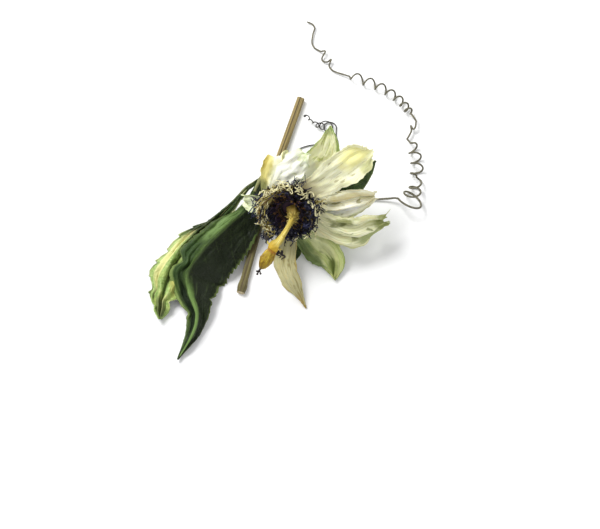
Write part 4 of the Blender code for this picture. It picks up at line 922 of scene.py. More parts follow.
# crown of crimped filaments
crown = {
    "seed": 5, "radius": 0.17, "stations": 18, "sides": 3, "ringSides": 48,
    "outerRing": [(3.9, 0.3), (4.9, 0.3), (5.2, 0.8), (4.8, 1.3), (3.9, 1.2)],
    "innerRing": [(2.5, 0.3), (3.5, 0.3), (3.6, 0.9), (3.3, 1.3), (2.5, 1.2)],
    "felt": {"from": 4.5, "to": 9.6, "low": 0.95, "high": 3.0, "rows": 26, "sides": 180, "thick": 0.25},
    "tufts": {
        "darkAll": {"count": 84, "start": 4.8, "reach": (9.0, 12.4), "rise0": 0.9, "rise1": (1.7, 4.2),
                    "bow": 1.2, "curl": 0.7, "hook": 1.1, "waves": (1.2, 1.4), "thick": 1.2},
        "darkTop": {"count": 50, "start": 4.6, "reach": (7.4, 10.4), "rise0": 1.0, "rise1": (3.6, 5.8),
                    "bow": 1.0, "curl": 0.6, "hook": 0.9, "ochre": 0.2, "waves": (1.0, 1.2), "thick": 1.2},
        "navyCurls": {"count": 84, "start": 5.5, "reach": (8.4, 12.0), "rise0": 1.2, "rise1": (2.6, 5.8),
                      "bow": 1.0, "curl": 0.6, "hook": 1.5, "fan": (258.0, 405.0), "thick": 1.5,
                      "waves": (1.0, 1.2)},
        "rimStrands": {"count": 40, "start": 6.4, "reach": (7.6, 11.0), "rise0": 3.0, "rise1": (3.4, 5.8),
                       "bow": 0.9, "curl": 0.3, "hook": 0.35, "fan": (92.0, 150.0), "sweep": 0.95,
                       "ochre": 0.75, "cream": 0.25, "thick": 1.4, "waves": (0.6, 0.8)},
        "ochreBands": {"count": 30, "start": 5.2, "reach": (7.6, 11.0), "rise0": 1.4, "rise1": (3.0, 5.0),
                       "bow": 0.9, "curl": 0.4, "hook": 0.5, "fan": (75.0, 185.0), "drift": 8.0,
                       "ochre": 1.0, "thick": 1.5, "waves": (0.8, 1.0)},
        "oliveFuzz": {"count": 76, "start": 7.4, "reach": (9.6, 12.0), "rise0": 2.4, "rise1": (3.2, 5.4),
                      "bow": 0.8, "curl": 0.5, "hook": 0.7, "fan": (172.0, 240.0), "ochre": 0.75,
                      "thick": 1.15, "cream": 0.35, "waves": (1.0, 1.2), "drift": 3.0},
        "creamCrimps": {"count": 26, "start": 7.4, "reach": (9.8, 12.6), "rise0": 3.2, "rise1": (3.8, 6.4),
                        "bow": 0.8, "curl": 0.9, "hook": 0.8, "fan": (24.0, 150.0), "cream": 1.0,
                        "thick": 1.1, "waves": (0.9, 1.0), "drift": 7.0},
        "creamEdge": {"count": 14, "start": 8.0, "reach": (10.8, 13.0), "rise0": 2.4, "rise1": (3.0, 5.2),
                      "bow": 0.9, "curl": 0.8, "hook": 0.8, "fan": (290.0, 388.0), "cream": 0.8,
                      "waves": (0.9, 1.0), "drift": 5.0},
        "looseRight": {"count": 16, "start": 9.0, "reach": (12.6, 14.6), "rise0": 2.6, "rise1": (3.0, 4.6),
                       "bow": 0.9, "curl": 0.5, "hook": 1.1, "fan": (12.0, 28.0), "ochre": 0.6,
                       "cream": 0.3, "waves": (0.8, 1.0)},
        "looseLeft": {"count": 24, "start": 7.5, "reach": (11.8, 13.8), "rise0": 1.4, "rise1": (1.8, 3.6),
                      "bow": 1.2, "curl": 0.7, "hook": 1.1, "fan": (158.0, 204.0), "drift": 5.0,
                      "waves": (1.0, 1.0)},
        "looseLow": {"count": 32, "start": 9.0, "reach": (12.6, 15.0), "rise0": 1.2, "rise1": (1.4, 3.2),
                     "bow": 1.2, "curl": 0.6, "hook": 1.6, "fan": (228.0, 240.0), "thick": 1.1,
                     "waves": (0.8, 1.0)},
        "looseTop": {"count": 7, "start": 9.5, "reach": (14.2, 16.2), "rise0": 3.6, "rise1": (5.0, 6.8),
                     "bow": 0.9, "curl": 0.7, "hook": 1.1, "fan": (62.0, 82.0), "thick": 0.85,
                     "waves": (0.9, 0.9)},
    },
    "throat": {"count": 96, "start": 2.9, "reach": (4.2, 7.2), "rise0": 0.8, "rise1": (2.8, 5.8), "bow": 0.95,
               "curl": 0.35, "hook": 0.35, "ochre": 0.12, "thick": 1.1},
    "outer": {"foot": (0.012, 0.007, 0.007), "waist": (0.13, 0.075, 0.014), "waistPale": (0.46, 0.38, 0.1),
              "tip": (0.006, 0.005, 0.009), "tipOther": (0.018, 0.02, 0.058), "cream": (0.86, 0.8, 0.46),
              # the blue-grey specks here are painted highlights
              "specksAndHighlights": (0.16, 0.165, 0.23), "bands": (0.16, 0.26), "wander": 0.1},
    "inner": {"foot": (0.008, 0.005, 0.005), "waist": (0.12, 0.05, 0.014), "waistPale": (0.22, 0.12, 0.035),
              "tip": (0.008, 0.005, 0.014), "tipOther": (0.02, 0.009, 0.03), "cream": (0.05, 0.04, 0.03),
              "specksAndHighlights": (0.02, 0.013, 0.03), "bands": (0.4, 0.6), "wander": 0.3},
}


def crimpedThreads(rng, look):
    # radius grows along each thread while sine crimps push it sideways and up; its end hooks over
    count = look["count"]
    first = round(0.2 * crown["stations"])
    stations = np.linspace(0.3, 1, crown["stations"] - first)
    share = np.concatenate([np.linspace(0, 0.3, first, endpoint=False), stations])[None, :]
    low, high = look.get("fan", (0.0, 360.0))
    place = (np.arange(count) + 0.8 * rng.random(count)) / count
    turn0 = np.radians(low + (high - low) * place)[:, None]
    nearest, farthest = look["reach"]
    reach = (nearest + (farthest - nearest) * rng.random(count))[:, None]
    loose = ramp(share, 0.1, 0.6)
    slowest, spread = look.get("waves", (1.8, 2.2))
    waves = slowest + spread * rng.random((count, 1))
    sway = look["curl"] * loose * np.sin(2 * math.pi * (waves * share + rng.random((count, 1))))
    drift = look.get("drift", 1.8) * (rng.random((count, 1)) - 0.5) * share**1.5
    lift = look["curl"] * loose * np.sin(2 * math.pi * ((waves + 0.7) * share + rng.random((count, 1))))
    lowest, highest = look["rise1"]
    top = (lowest + (highest - lowest) * rng.random(count))[:, None]
    height = look["rise0"] + (top - look["rise0"]) * share ** look["bow"] + lift
    hooked = ramp(share, 0.5, 0.95)
    spin = 2 * math.pi * (0.4 + 0.8 * rng.random((count, 1))) * share * 1.4
    spin = spin + 2 * math.pi * rng.random((count, 1))
    size = look["hook"] * (0.3 + 1.0 * rng.random((count, 1))) * hooked
    radius = look["start"] + (reach - look["start"]) * share - size * (1 - np.cos(spin))
    height = height + size * np.sin(spin)
    side = size * np.cos(spin + 2 * math.pi * rng.random((count, 1)))
    turn = turn0 + look.get("sweep", 0.0) * share + (sway + drift + 0.7 * side) / np.maximum(radius, 1.5)
    return bloomPoint(radius, turn, height)


def threadBundle(rng, lines, radius, sides, marks):
    # one tube a thread, all at once: circle in the plane square to the line at each station
    count, steps = lines.shape[:2]
    tangent = unit(np.gradient(lines, axis=1))
    first = unit(bloomN - np.sum(bloomN * tangent, -1, keepdims=True) * tangent)
    second = np.cross(tangent, first)
    turn = fullTurn(sides)
    thick = radius * (0.8 + 0.5 * rng.random((count, 1))) * (1.15 - 0.4 * np.linspace(0, 1, steps))[None, :]
    ring = np.cos(turn)[:, None] * first[:, :, None, :] + np.sin(turn)[:, None] * second[:, :, None, :]
    points = lines[:, :, None, :] + ring * thick[:, :, None, None]
    index = np.arange(count * steps * sides).reshape(count, steps, sides)
    beside = np.roll(index, -1, axis=2)
    quads = facesOf(index[:, :-1], beside[:, :-1], beside[:, 1:], index[:, 1:])
    ends = count * steps * sides + np.arange(2 * count).reshape(2, count)
    tris = np.vstack([facesOf(np.repeat(ends[0], sides), beside[:, 0], index[:, 0]),
                      facesOf(np.repeat(ends[1], sides), index[:, -1], beside[:, -1])])
    along = np.broadcast_to(np.linspace(0, 1, steps)[None, :, None], (count, steps, sides)).ravel()
    around = np.broadcast_to((turn / (2 * math.pi))[None, None, :], (count, steps, sides)).ravel()
    caps = np.repeat([[0, 0.5], [1, 0.5]], count, axis=0)
    marks = {"ownTint": rng.random(count), **marks}
    marks = {key: np.concatenate([np.repeat(own, steps * sides), own, own]) for key, own in marks.items()}
    return {"points": np.vstack([points.reshape(-1, 3), lines[:, 0], lines[:, -1]]), "quads": quads,
            "tris": tris, "uv": np.vstack([np.stack([along, around], 1), caps]), "marks": marks}


def ringSolid(profile, sides):
    # closed loop of (radius, height) pairs turned round the bloom's axis
    profile = np.asarray(profile, float)
    turn = np.radians(np.linspace(0, 360, sides, endpoint=False))
    radii, heights = np.repeat(profile[:, :1], sides, 1), np.repeat(profile[:, 1:], sides, 1)
    points = bloomPoint(radii, turn[None, :], heights)
    count = len(profile)
    index = np.arange(count * sides).reshape(count, sides)
    below = np.roll(index, -1, axis=0)
    quads = facesOf(index, np.roll(index, -1, axis=1), np.roll(below, -1, axis=1), below)
    plain = np.zeros(count * sides)
    return {"points": points.reshape(-1, 3), "quads": quads, "tris": np.zeros((0, 3), int),
            "uv": np.tile([[0.02, 0.5]], (count * sides, 1)),
            "marks": {"ownTint": plain, "ochrePull": plain, "creamPull": plain}}


def feltSolid(look):
    # matted feet of the threads: a rumpled funnel with a ragged edge, there and back as one closed loop
    rows, sides = look["rows"], look["sides"]
    share = np.linspace(0, 1, rows)[:, None]
    around = np.linspace(0, 360, sides, endpoint=False)
    turn = np.radians(around)[None, :]
    x, y = 3 * np.cos(turn), 3 * np.sin(turn)
    edge = 1 + 0.16 * layeredNoise(x * 3, y * 3, 3, 3)
    radius = look["from"] + (look["to"] * edge - look["from"]) * share
    rumple = layeredNoise(x * (1 + share) * 1.8, y * (1 + share) * 1.8, 8, 4)
    height = look["low"] + (look["high"] - look["low"]) * share**1.2 + 0.9 * share * rumple
    thick = look["thick"] * (1 - 0.6 * share)
    points = bloomPoint(np.vstack([radius, radius[::-1]]), np.repeat(turn, 2 * rows, 0),
                        np.vstack([height, (height - thick)[::-1]]))
    index = np.arange(2 * rows * sides).reshape(2 * rows, sides)
    below = np.roll(index, -1, axis=0)
    quads = facesOf(index, below, np.roll(below, -1, axis=1), np.roll(index, -1, axis=1))
    along = np.repeat(0.5 * np.concatenate([share[:, 0], share[::-1, 0]]), sides)
    plain = np.zeros(2 * rows * sides)
    patchy = ramp(np.tile(rumple, (2, 1)).ravel(), 0.1, 0.7)
    return {"points": points.reshape(-1, 3), "quads": quads, "tris": np.zeros((0, 3), int),
            "uv": np.stack([along, np.tile(around / 360, 2 * rows)], 1),
            "marks": {"ownTint": plain, "ochrePull": patchy, "creamPull": plain}}


def tuftOf(rng, look):
    # each thread is ochre or cream by chance, as often as its tuft says, and dark otherwise
    lines = crimpedThreads(rng, look)
    marks = {"ochrePull": (rng.random(look["count"]) < look.get("ochre", 0.0)).astype(float),
             "creamPull": (rng.random(look["count"]) < look.get("cream", 0.0)).astype(float)}
    return threadBundle(rng, lines, crown["radius"] * look.get("thick", 1.0), crown["sides"], marks)


def buildCrown():
    # all tufts drawn in their order from one random stream, on their ring and felt; then the throat
    rng = np.random.default_rng(crown["seed"])
    parts = [tuftOf(rng, look) for look in crown["tufts"].values()]
    parts.append(ringSolid(crown["outerRing"], crown["ringSides"]))
    parts.append(feltSolid(crown["felt"]))
    made = meshFrom("crownOuter", joinParts(parts))
    finishPiece(made, filamentMaterial("crownThread", crown["outer"]), "corona_outer")
    parts = [tuftOf(rng, crown["throat"]), ringSolid(crown["innerRing"], crown["ringSides"])]
    made = meshFrom("crownInner", joinParts(parts))
    finishPiece(made, filamentMaterial("throatThread", crown["inner"]), "corona_inner")


buildCrown()
print("crown done")

# column with its fuzzy collar, knob and stamen stalks, then ovary, styles and anthers
column = {
    "line": [(0.9, -0.9, 0.4), (1.1, -2.6, 2.9), (-0.4, -6.0, 6.2), (-3.4, -10.8, 8.6)],
    "knob": (-4.9, -12.5, 8.9), "knobEnd": 1.95, "rows": 120, "sides": 40, "furrowDepth": 0.12,
    "fuzz": {"count": 190, "from": (0.08, 0.3), "shortest": 1.3, "longer": 1.3, "bend": 0.3, "radius": 0.11,
             "steps": 5},
    "share": (0.0, 0.08, 0.2, 0.35, 0.5, 0.66, 0.78, 0.84, 0.9, 0.95, 0.98, 1.0),
    "radius": (2.4, 2.1, 1.3, 0.86, 0.86, 1.0, 1.25, 1.45, 1.8, 1.85, 1.8, 1.6),
    "look": {"deep": (0.38, 0.27, 0.03), "body": (0.7, 0.57, 0.13), "lit": (0.95, 0.9, 0.48), "ribs": 16.0,
             "endFrom": 0.93, "end": (0.48, 0.31, 0.02), "footTo": 0.34, "foot": (0.28, 0.19, 0.035)},
    "fuzzLook": {"foot": (0.2, 0.13, 0.025), "waist": (0.24, 0.16, 0.03), "waistPale": (0.4, 0.34, 0.1),
                 "tip": (0.3, 0.22, 0.045), "tipOther": (0.44, 0.38, 0.11), "cream": (0.6, 0.55, 0.25),
                 "specksAndHighlights": (0.12, 0.06, 0.02), "bands": (0.3, 0.6), "wander": 0.3},
}
ovary = {
    "base": (-5.72, -13.92, 9.0), "tip": (-9.7, -20.2, 8.6), "rows": 80, "sides": 64,
    "share": (0.0, 0.06, 0.2, 0.36, 0.55, 0.72, 0.86, 0.96, 1.0),
    "radius": (1.5, 1.75, 2.0, 2.25, 2.3, 2.0, 1.45, 0.8, 0.35),
    "furrows": {"broad": (3, 0.4, 0.07), "fine": (12, 0, 0.03)},  # how many, phase, depth
    # its darker foot is painted shade where it sits in the knob
    "look": {"deep": (0.18, 0.1, 0.004), "body": (0.4, 0.28, 0.014), "lit": (0.72, 0.58, 0.1), "ribs": 12.0,
             "run": 1.8, "endFrom": 1.0, "end": (0.1, 0.05, 0.012), "footTo": 0.3,
             "foot": (0.28, 0.13, 0.008)},
}
styles = {
    "neck": (-0.2, -0.33, -0.05), "inside": (0.25, 0.4, 0), "outside": (-0.1, -0.15, 0),
    "ends": [(-1.1, -0.6, 0.2), (0.3, -1.5, -0.2), (-0.9, -1.6, -0.9)], "arch": (0, 0, 0.3),
    "share": (0, 0.7, 0.88, 1.0), "radius": (0.36, 0.2, 0.42, 0.24), "rows": 24, "sides": 12,
    "look": {"deep": (0.02, 0.015, 0.015), "body": (0.05, 0.035, 0.03), "lit": (0.12, 0.09, 0.06),
             "endFrom": 1.2, "end": (0.03, 0.02, 0.02), "footTo": 0.1, "foot": (0.2, 0.12, 0.05)},
}
stamens = {
    "lines": [[(-4.6, -13.0, 8.3), (-3.7, -13.7, 8.2), (-3.0, -13.9, 7.4)],
              [(-5.2, -13.0, 7.8), (-5.8, -14.2, 6.0), (-6.4, -15.2, 5.2)],
              [(-5.6, -12.2, 8.6), (-7.0, -11.9, 7.4), (-7.3, -11.2, 6.2)],
              [(-4.4, -12.0, 8.0), (-3.8, -10.8, 6.2), (-3.5, -9.7, 5.0)],
              [(-4.8, -12.8, 7.8), (-4.4, -13.2, 6.4), (-4.2, -13.6, 5.6)]],
    "radii": (0.42, 0.26), "rows": 30, "sides": 12, "tintPlace": 0.6,
}
anthers = {
    "ends": {1: [(-2.7, -14.12, 7.15), (-2.0, -17.4, 6.6)], 2: [(-6.53, -15.58, 5.07), (-7.9, -18.4, 4.6)],
             3: [(-7.43, -10.92, 5.92), (-8.4, -8.2, 5.2)], 4: [(-3.42, -9.38, 4.73), (-2.6, -6.8, 3.7)],
             5: [(-4.13, -13.98, 5.48), (-3.5, -16.6, 4.4)]},
    "share": (0, 0.12, 0.34, 0.6, 0.85, 1.0), "radius": (0.24, 0.4, 0.46, 0.26, 0.16, 0.1),
    "rows": 30, "sides": 20, "bend": 0.7, "grooveDepth": 0.25,
    "look": {"deep": (0.015, 0.012, 0.014), "body": (0.05, 0.042, 0.035), "lit": (0.16, 0.13, 0.06),
             "endFrom": 1.2, "end": (0.1, 0.08, 0.05), "footTo": -1.0, "foot": (0.1, 0.08, 0.05)},
}


def fuzzBundle(line):
    # short straight hairs standing out of the column's skin in every direction round its lower part
    rng = np.random.default_rng(crown["seed"] + 1)
    fuzz = column["fuzz"]
    count = fuzz["count"]
    low, high = fuzz["from"]
    place = (low + (high - low) * rng.random(count)) * (len(line) - 1)
    foot = readAt(place, np.arange(len(line)), line)
    away = unit(rng.normal(size=(count, 3)) + 0.5 * bloomN)
    reach = fuzz["shortest"] + fuzz["longer"] * rng.random((count, 1, 1))
    share = np.linspace(0.4, 1, fuzz["steps"])[None, :, None]
    bend = fuzz["bend"] * rng.normal(size=(count, 1, 3)) * share**2
    lines = foot[:, None, :] + away[:, None, :] * reach * share + bend
    plain = {"ochrePull": np.zeros(count), "creamPull": np.zeros(count)}
    return threadBundle(rng, lines, fuzz["radius"], crown["sides"], plain)


def buildColumn():
    # one tube from the flared foot to the rough knob; its skin grows rougher towards the knob
    direction = unit(leanPoint(ovary["tip"]) - leanPoint(ovary["base"]))
    knob = leanPoint(column["knob"])
    line = through([leanPoint(p) for p in column["line"]] + [knob, knob + column["knobEnd"] * direction],
                   column["rows"])
    share = np.linspace(0, 1, column["rows"])
    radius = np.interp(share, column["share"], column["radius"])
    turn = fullTurn(column["sides"])
    rough = 0.5 + 1.6 * ramp(share, 0.6, 0.9)[:, None]
    ribs = 1 + rough * (skinOf(column["rows"], column["sides"], seed=3, amount=0.16, run=11.0) - 1)
    ribs = ribs * (1 - column["furrowDepth"] * np.abs(np.sin(2.5 * turn + 2 * share[:, None])))
    parts = [tubeSolid(line, radius, column["sides"], bloomX, ribs)]
    rows, sides = stamens["rows"], stamens["sides"]
    for points in stamens["lines"]:
        path = through([leanPoint(p) for p in points], rows)
        solid = tubeSolid(path, np.linspace(*stamens["radii"], rows), sides, bloomX,
                          skinOf(rows, sides, seed=5, amount=0.2))
        solid["uv"][:, 0] = stamens["tintPlace"]  # each takes the column's own middle colour
        parts.append(solid)
    made = meshFrom("column", joinParts(parts))
    finishPiece(made, fleshMaterial("columnFlesh", column["look"]), "column")
    made = meshFrom("columnFuzz", fuzzBundle(line))  # the fuzzy collar round its foot
    finishPiece(made, filamentMaterial("collarFuzz", column["fuzzLook"]), "column")


def buildOvary():
    # profile turned round the line from base to tip, with three broad furrows and twelve fine ones
    base, tip = leanPoint(ovary["base"]), leanPoint(ovary["tip"])
    length = np.linalg.norm(tip - base)
    s = np.linspace(0, 1, ovary["rows"])
    turn = fullTurn(ovary["sides"])
    skin = skinOf(ovary["rows"], ovary["sides"], seed=21, amount=0.1, run=8.0) - 1
    for count, phase, depth in ovary["furrows"].values():
        skin = skin - depth * np.abs(np.sin(0.5 * count * turn + phase))[None, :]
    radius = np.interp(s, ovary["share"], ovary["radius"])
    solid = turnedSolid(radius, s * length, base, tip - base, ovary["sides"], skin)
    finishPiece(meshFrom("ovary", solid), fleshMaterial("ovarySkin", ovary["look"]), "ovary")


def buildStyles():
    # three short tubes from inside the ovary's tip, each arched out to its own end and swollen there
    neck = np.array(ovary["tip"]) + styles["neck"]
    rows, sides = styles["rows"], styles["sides"]
    thick = np.interp(np.linspace(0, 1, rows), styles["share"], styles["radius"])
    parts = []
    for end in np.array(styles["ends"]):
        points = (styles["inside"], styles["outside"], 0.6 * end + styles["arch"], end)
        path = through([leanPoint(neck + point) for point in points], rows)
        parts.append(tubeSolid(path, thick, sides, bloomX, skinOf(rows, sides, seed=7, amount=0.25)))
    made = meshFrom("styles", joinParts(parts))
    finishPiece(made, fleshMaterial("witheredStyle", styles["look"]), "styles")


def buildAnthers():
    # curled tube, thick near its head, with one groove along it; each bends by its own number
    skin = fleshMaterial("witheredAnther", anthers["look"])
    rows, sides = anthers["rows"], anthers["sides"]
    share = np.linspace(0, 1, rows)
    radius = np.interp(share, anthers["share"], anthers["radius"])
    groove = 1 - anthers["grooveDepth"] * np.exp(-((fullTurn(sides) - 1.6) / 0.4) ** 2)
    for number, (head, foot) in anthers["ends"].items():
        bend = anthers["bend"] * ramp(share, 0.1, 0.5)[:, None] * np.sin(11 * share[:, None] + number)
        line = through([leanPoint(head), leanPoint(foot)], rows) + bend * bloomX
        section = skinOf(rows, sides, seed=30 + number, amount=0.25) * groove
        made = meshFrom(f"anther{number}", tubeSolid(line, radius, sides, bloomX, section))
        finishPiece(made, skin, f"anther_{number}")


buildColumn()
buildOvary()
buildStyles()
buildAnthers()
print("column, ovary and anthers done")

# leaf: two big lobes folded along their ribs, on one stalk
leafBase = (-2.8, 2.6, 4.6)
mainLobe = {
    "line": [leafBase, (-7.1, -8.7, 7.5), (-14.1, -17.1, 10.5), (-20.7, -24.1, 11.2), (-26.2, -31.8, 10.0),
             (-25.8, -38.4, 8.0), (-23.6, -45.2, 6.0), (-24.8, -51.2, 3.6), (-29.9, -59.5, 1.0)],
    "side": (0.92, -0.39, 0.0), "half": 15.0, "widest": 0.6, "root": 0.12, "blunt": 1.6, "round": 0.9,
    "square": 0.5, "rightShare": 0.55, "foldLeft": (36, 48), "foldRight": (6, 48), "teeth": 30,
    "bite": 0.055, "ruffle": 0.9, "waves": 4.2, "phase": 0.8, "ease": 0.3, "crumple": 0.4,
    "seed": 61, "crease": 0.62, "crush": 0.72, "curl": 1.1, "torn": 0.07, "veins": 11, "quilt": 0.36,
    "folds": 3.2, "rows": 320, "cols": 110, "thick": 0.3,
    "tapers": ((1, 0.56, 0.84, 0.34), (-1, 0.32, 0.06, 0.5)),
    "ridges": ((-0.02, 0.1, 0.8, 0.03), (-0.62, 0.12, 0.7, 0.2), (-0.36, 0.07, -0.45, 0.26),
               (0.5, 0.1, -0.3, 0.05)),
    "notches": ((-1, 0.55, 0.025, 0.45), (-1, 0.78, 0.02, 0.3), (1, 0.7, 0.012, 0.15)),
}
sideLobe = {
    "line": [leafBase, (-7.5, -1.2, 5.6), (-12.6, -7.4, 6.2), (-19.8, -15.2, 6.0), (-26.8, -23.0, 5.6),
             (-32.6, -31.5, 4.9), (-35.2, -39.0, 3.4), (-35.6, -45.4, 1.0)],
    "side": (0.85, -0.53, 0.0), "half": 8.4, "widest": 0.72, "root": 0.16, "late": 1.8, "blunt": 2.4,
    "round": 0.9, "foldLeft": (24, 24), "foldRight": (30, 30), "teeth": 12, "bite": 0.16,
    "ruffle": 1.2, "waves": 4.0, "phase": 2.2, "ease": 0.5, "crumple": 0.6,
    "seed": 71, "crease": 0.9, "crush": 0.8, "curl": 1.8, "torn": 0.16, "veins": 8, "quilt": 0.3,
    "ridges": ((-0.35, 0.14, 2.0, 0.14), (0.3, 0.16, 1.4, 0.12), (-0.75, 0.12, 1.0, 0.06),
               (0.02, 0.1, -1.2, 0.1)),
    "folds": 2.2, "rows": 260, "cols": 90, "thick": 0.3,
    "tapers": ((-1, 0.6, 0.2, 0.42), (1, 0.4, 0.1, 0.6)),
    "notches": ((-1, 0.84, 0.03, 0.3), (1, 0.9, 0.026, 0.5), (1, 0.74, 0.012, 0.2), (-1, 0.93, 0.014, 0.3)),
}
leafStalk = {"fromJoint": [(-2.0, 0.1, 2.3), (-2.9, -0.5, 3.6)], "end": (-4.8, -2.4, 5.8),
             "radii": (0.75, 0.5), "rows": 50, "sides": 20, "sectionFrom": (0.2, 0.1, 1.0)}
leafLooks = {
    "main": {"deep": (0.018, 0.036, 0.006), "body": (0.046, 0.085, 0.014), "lit": (0.1, 0.165, 0.034),
             "vein": (0.15, 0.21, 0.07), "veinShare": 0.16, "crest": (0.17, 0.26, 0.07),
             "valley": (0.007, 0.013, 0.003), "valleyShare": 0.85, "margin": (0.24, 0.32, 0.08),
             # back: the underside darkened below its real pale green as painted shade; shade: painted shade
             # on the far half; the rib stripe is a painted highlight
             "marginShare": 0.4, "back": (0.04, 0.06, 0.026), "shade": (0.1, 0.11, 0.09),
             "shadeShare": 0.95, "ribHighlight": (0.18, 0.3, 0.08), "veins": 11, "slant": 1.3,
             # the first patch is a painted highlight on the lit fold; the second, third and fifth are painted
             # shade; the fourth is the pale curled margin
             "patchesAndPaintedLight": (((0.3, 0.3, 0.14, 0.16), (0.17, 0.27, 0.085), 0.8),
                         ((0.54, 0.2, 0.14, 0.3), (0.022, 0.05, 0.01), 0.85),
                         ((0.74, 0.31, 0.22, 0.16), (0.005, 0.013, 0.003), 0.96),
                         ((0.7, 0.04, 0.16, 0.1), (0.26, 0.35, 0.11), 0.8),
                         ((0.6, 0.78, 0.17, 0.26), (0.014, 0.02, 0.009), 0.85))},
    "side": {"deep": (0.008, 0.018, 0.005), "body": (0.022, 0.05, 0.012), "lit": (0.06, 0.12, 0.03),
             "lateDeep": (0.2, 0.3, 0.07), "late": (0.34, 0.5, 0.15), "lateLit": (0.56, 0.7, 0.3),
             "latePatch": (0.5, 0.56, 0.17), "lateFrom": (0.56, 0.72), "vein": (0.4, 0.44, 0.16),
             "veinShare": 0.3, "crest": (0.7, 0.68, 0.3), "valley": (0.05, 0.07, 0.014), "valleyShare": 0.8,
             "margin": (0.62, 0.62, 0.36), "back": (0.14, 0.2, 0.07), "veins": 8, "slant": 1.2,
             "patchesAndPaintedLight": (((0.74, 0.74, 0.14, 0.2), (0.62, 0.58, 0.16), 0.7),
                         ((0.67, 0.2, 0.2, 0.09), (0.74, 0.7, 0.32), 0.8),
                         ((0.94, 0.5, 0.07, 0.3), (0.03, 0.03, 0.012), 0.7))},
}


def buildLeaf():
    # the two lobes, then the stalk as a tapering tube from the vine's joint into their ribs
    made = meshFrom("leafMain", bladeSolid(mainLobe))
    finishPiece(made, leafMaterial("leafUpper", leafLooks["main"]), "leaf")
    made = meshFrom("leafSide", bladeSolid(sideLobe))
    finishPiece(made, leafMaterial("leafPale", leafLooks["side"]), "leaf")
    rows, sides = leafStalk["rows"], leafStalk["sides"]
    path = through([*(vineJoint + leafStalk["fromJoint"]), leafBase, leafStalk["end"]], rows)
    solid = tubeSolid(path, np.linspace(*leafStalk["radii"], rows), sides, leafStalk["sectionFrom"],
                      skinOf(rows, sides, seed=13, amount=0.12))
    finishPiece(meshFrom("leafStalk", solid), stemMaterial("leafStalkSkin", stalk), "leaf")


buildLeaf()
print("leaf done")

# tendrils: thin wiry tubes along lines that coil, lean and roll
tendril = {
    "radius": 0.31, "sides": 10, "lowest": 0.4, "fromJoint": (2.05, 1.2, 1.9),
    "thickFoot": 1.15, "taper": 0.3, "softenLine": 5, "softenSection": 30,
    "steps": {"run": 120, "twist": 40, "slack": 12, "kink": 80, "last": 90, "whole": 1600},
    "run": [(12, 3.0, 1.1), (24, -1.0, 0.7), (34, -2.9, 0.7), (38.5, -3.1, 1.1), (41.6, -3.2, 2.2)],
    "loops": {"centres": [(46.3, -5.6, 2.9), (46.6, -5.0, 2.9), (48.0, -1.6, 2.4), (48.5, 0.6, 2.0),
                          (48.7, 2.8, 1.9)],
              "radii": (3.5, 3.4, 2.2, 1.95, 1.9), "tilts": (-0.6, -0.55, -0.1, 0.0, 0.0),
              "turns": 2.65, "startDeg": 185, "leanDeg": -43, "steps": 260},
    "firstCoil": {"line": [(48.9, 4.2, 2.1), (49.1, 8.2, 2.0), (48.5, 12.2, 2.0), (47.2, 16.2, 2.0)],
                  "turns": 3.1, "lean": 0.02, "radius": 2.1, "steps": 240, "phase": 1.2, "crowd": 1.0,
                  "slim": 0.22},
    "twist": [(45.9, 18.0, 1.3), (47.3, 20.8, 1.4), (47.1, 22.8, 1.8), (47.9, 21.3, 1.9), (48.7, 22.3, 1.7),
              (48.9, 24.4, 1.7)],
    "secondCoil": {"line": [(47.4, 26.6, 2.0), (43.0, 32.0, 2.0), (36.0, 36.8, 2.0), (26.8, 40.4, 2.0)],
                   "turns": 7.6, "lean": 0.27, "radius": 1.2, "steps": 460, "phase": 0.3, "crowd": 0.68,
                   "slim": -0.32},
    "slack": [(25.2, 41.0, 1.2), (22.6, 42.0, 0.8)],
    "kink": [(21.1, 42.7, 0.8), (20.0, 44.3, 0.8), (20.8, 46.5, 1.7), (19.6, 45.8, 0.9), (18.1, 45.9, 0.9),
             (17.6, 47.1, 0.9), (18.8, 49.4, 1.4), (17.2, 49.5, 0.9)],
    "last": [(15.1, 50.8, 0.7), (14.3, 52.6, 0.7), (14.6, 55.6, 0.7), (15.2, 58.0, 0.7), (14.4, 59.4, 0.7),
             (12.7, 60.2, 0.7)],
    "look": {"body": (0.15, 0.135, 0.085), "groove": (0.055, 0.05, 0.03), "ridge": (0.27, 0.25, 0.17),
             "blotch": (0.24, 0.21, 0.1), "ribs": 8.0, "run": 160.0, "depth": 0.00012},
}
smallTendril = {
    "radius": 0.2, "sides": 8, "nodeY": 9.5, "fromVineX": 1.75, "fromZ": 1.7, "runSteps": 160,
    "soften": 8,
    "run": [(6.2, 11.6, 0.8), (9.2, 14.4, 0.3), (12.2, 15.8, 0.3), (15.6, 16.4, 0.3), (20.2, 16.2, 0.3),
            (22.4, 16.0, 0.3), (22.9, 17.2, 0.3), (22.2, 19.6, 0.3)],
    "centres": [(21.0, 22.6, 0.3), (19.2, 22.9, 0.3), (17.0, 22.8, 0.3), (15.8, 23.2, 0.3),
                (14.2, 24.2, 0.3), (12.1, 26.0, 0.3), (11.9, 26.4, 0.3)],
    "radii": (1.5, 2.0, 1.1, 0.8, 0.12, 0.5, 0.65), "turns": 6.0, "startDeg": -30, "rise": 2.4,
    "steps": 420,
    "look": {"body": (0.05, 0.047, 0.042), "groove": (0.02, 0.018, 0.018), "ridge": (0.13, 0.12, 0.09),
             "blotch": (0.1, 0.09, 0.06), "ribs": 8.0, "run": 60.0, "depth": 0.0001},
}


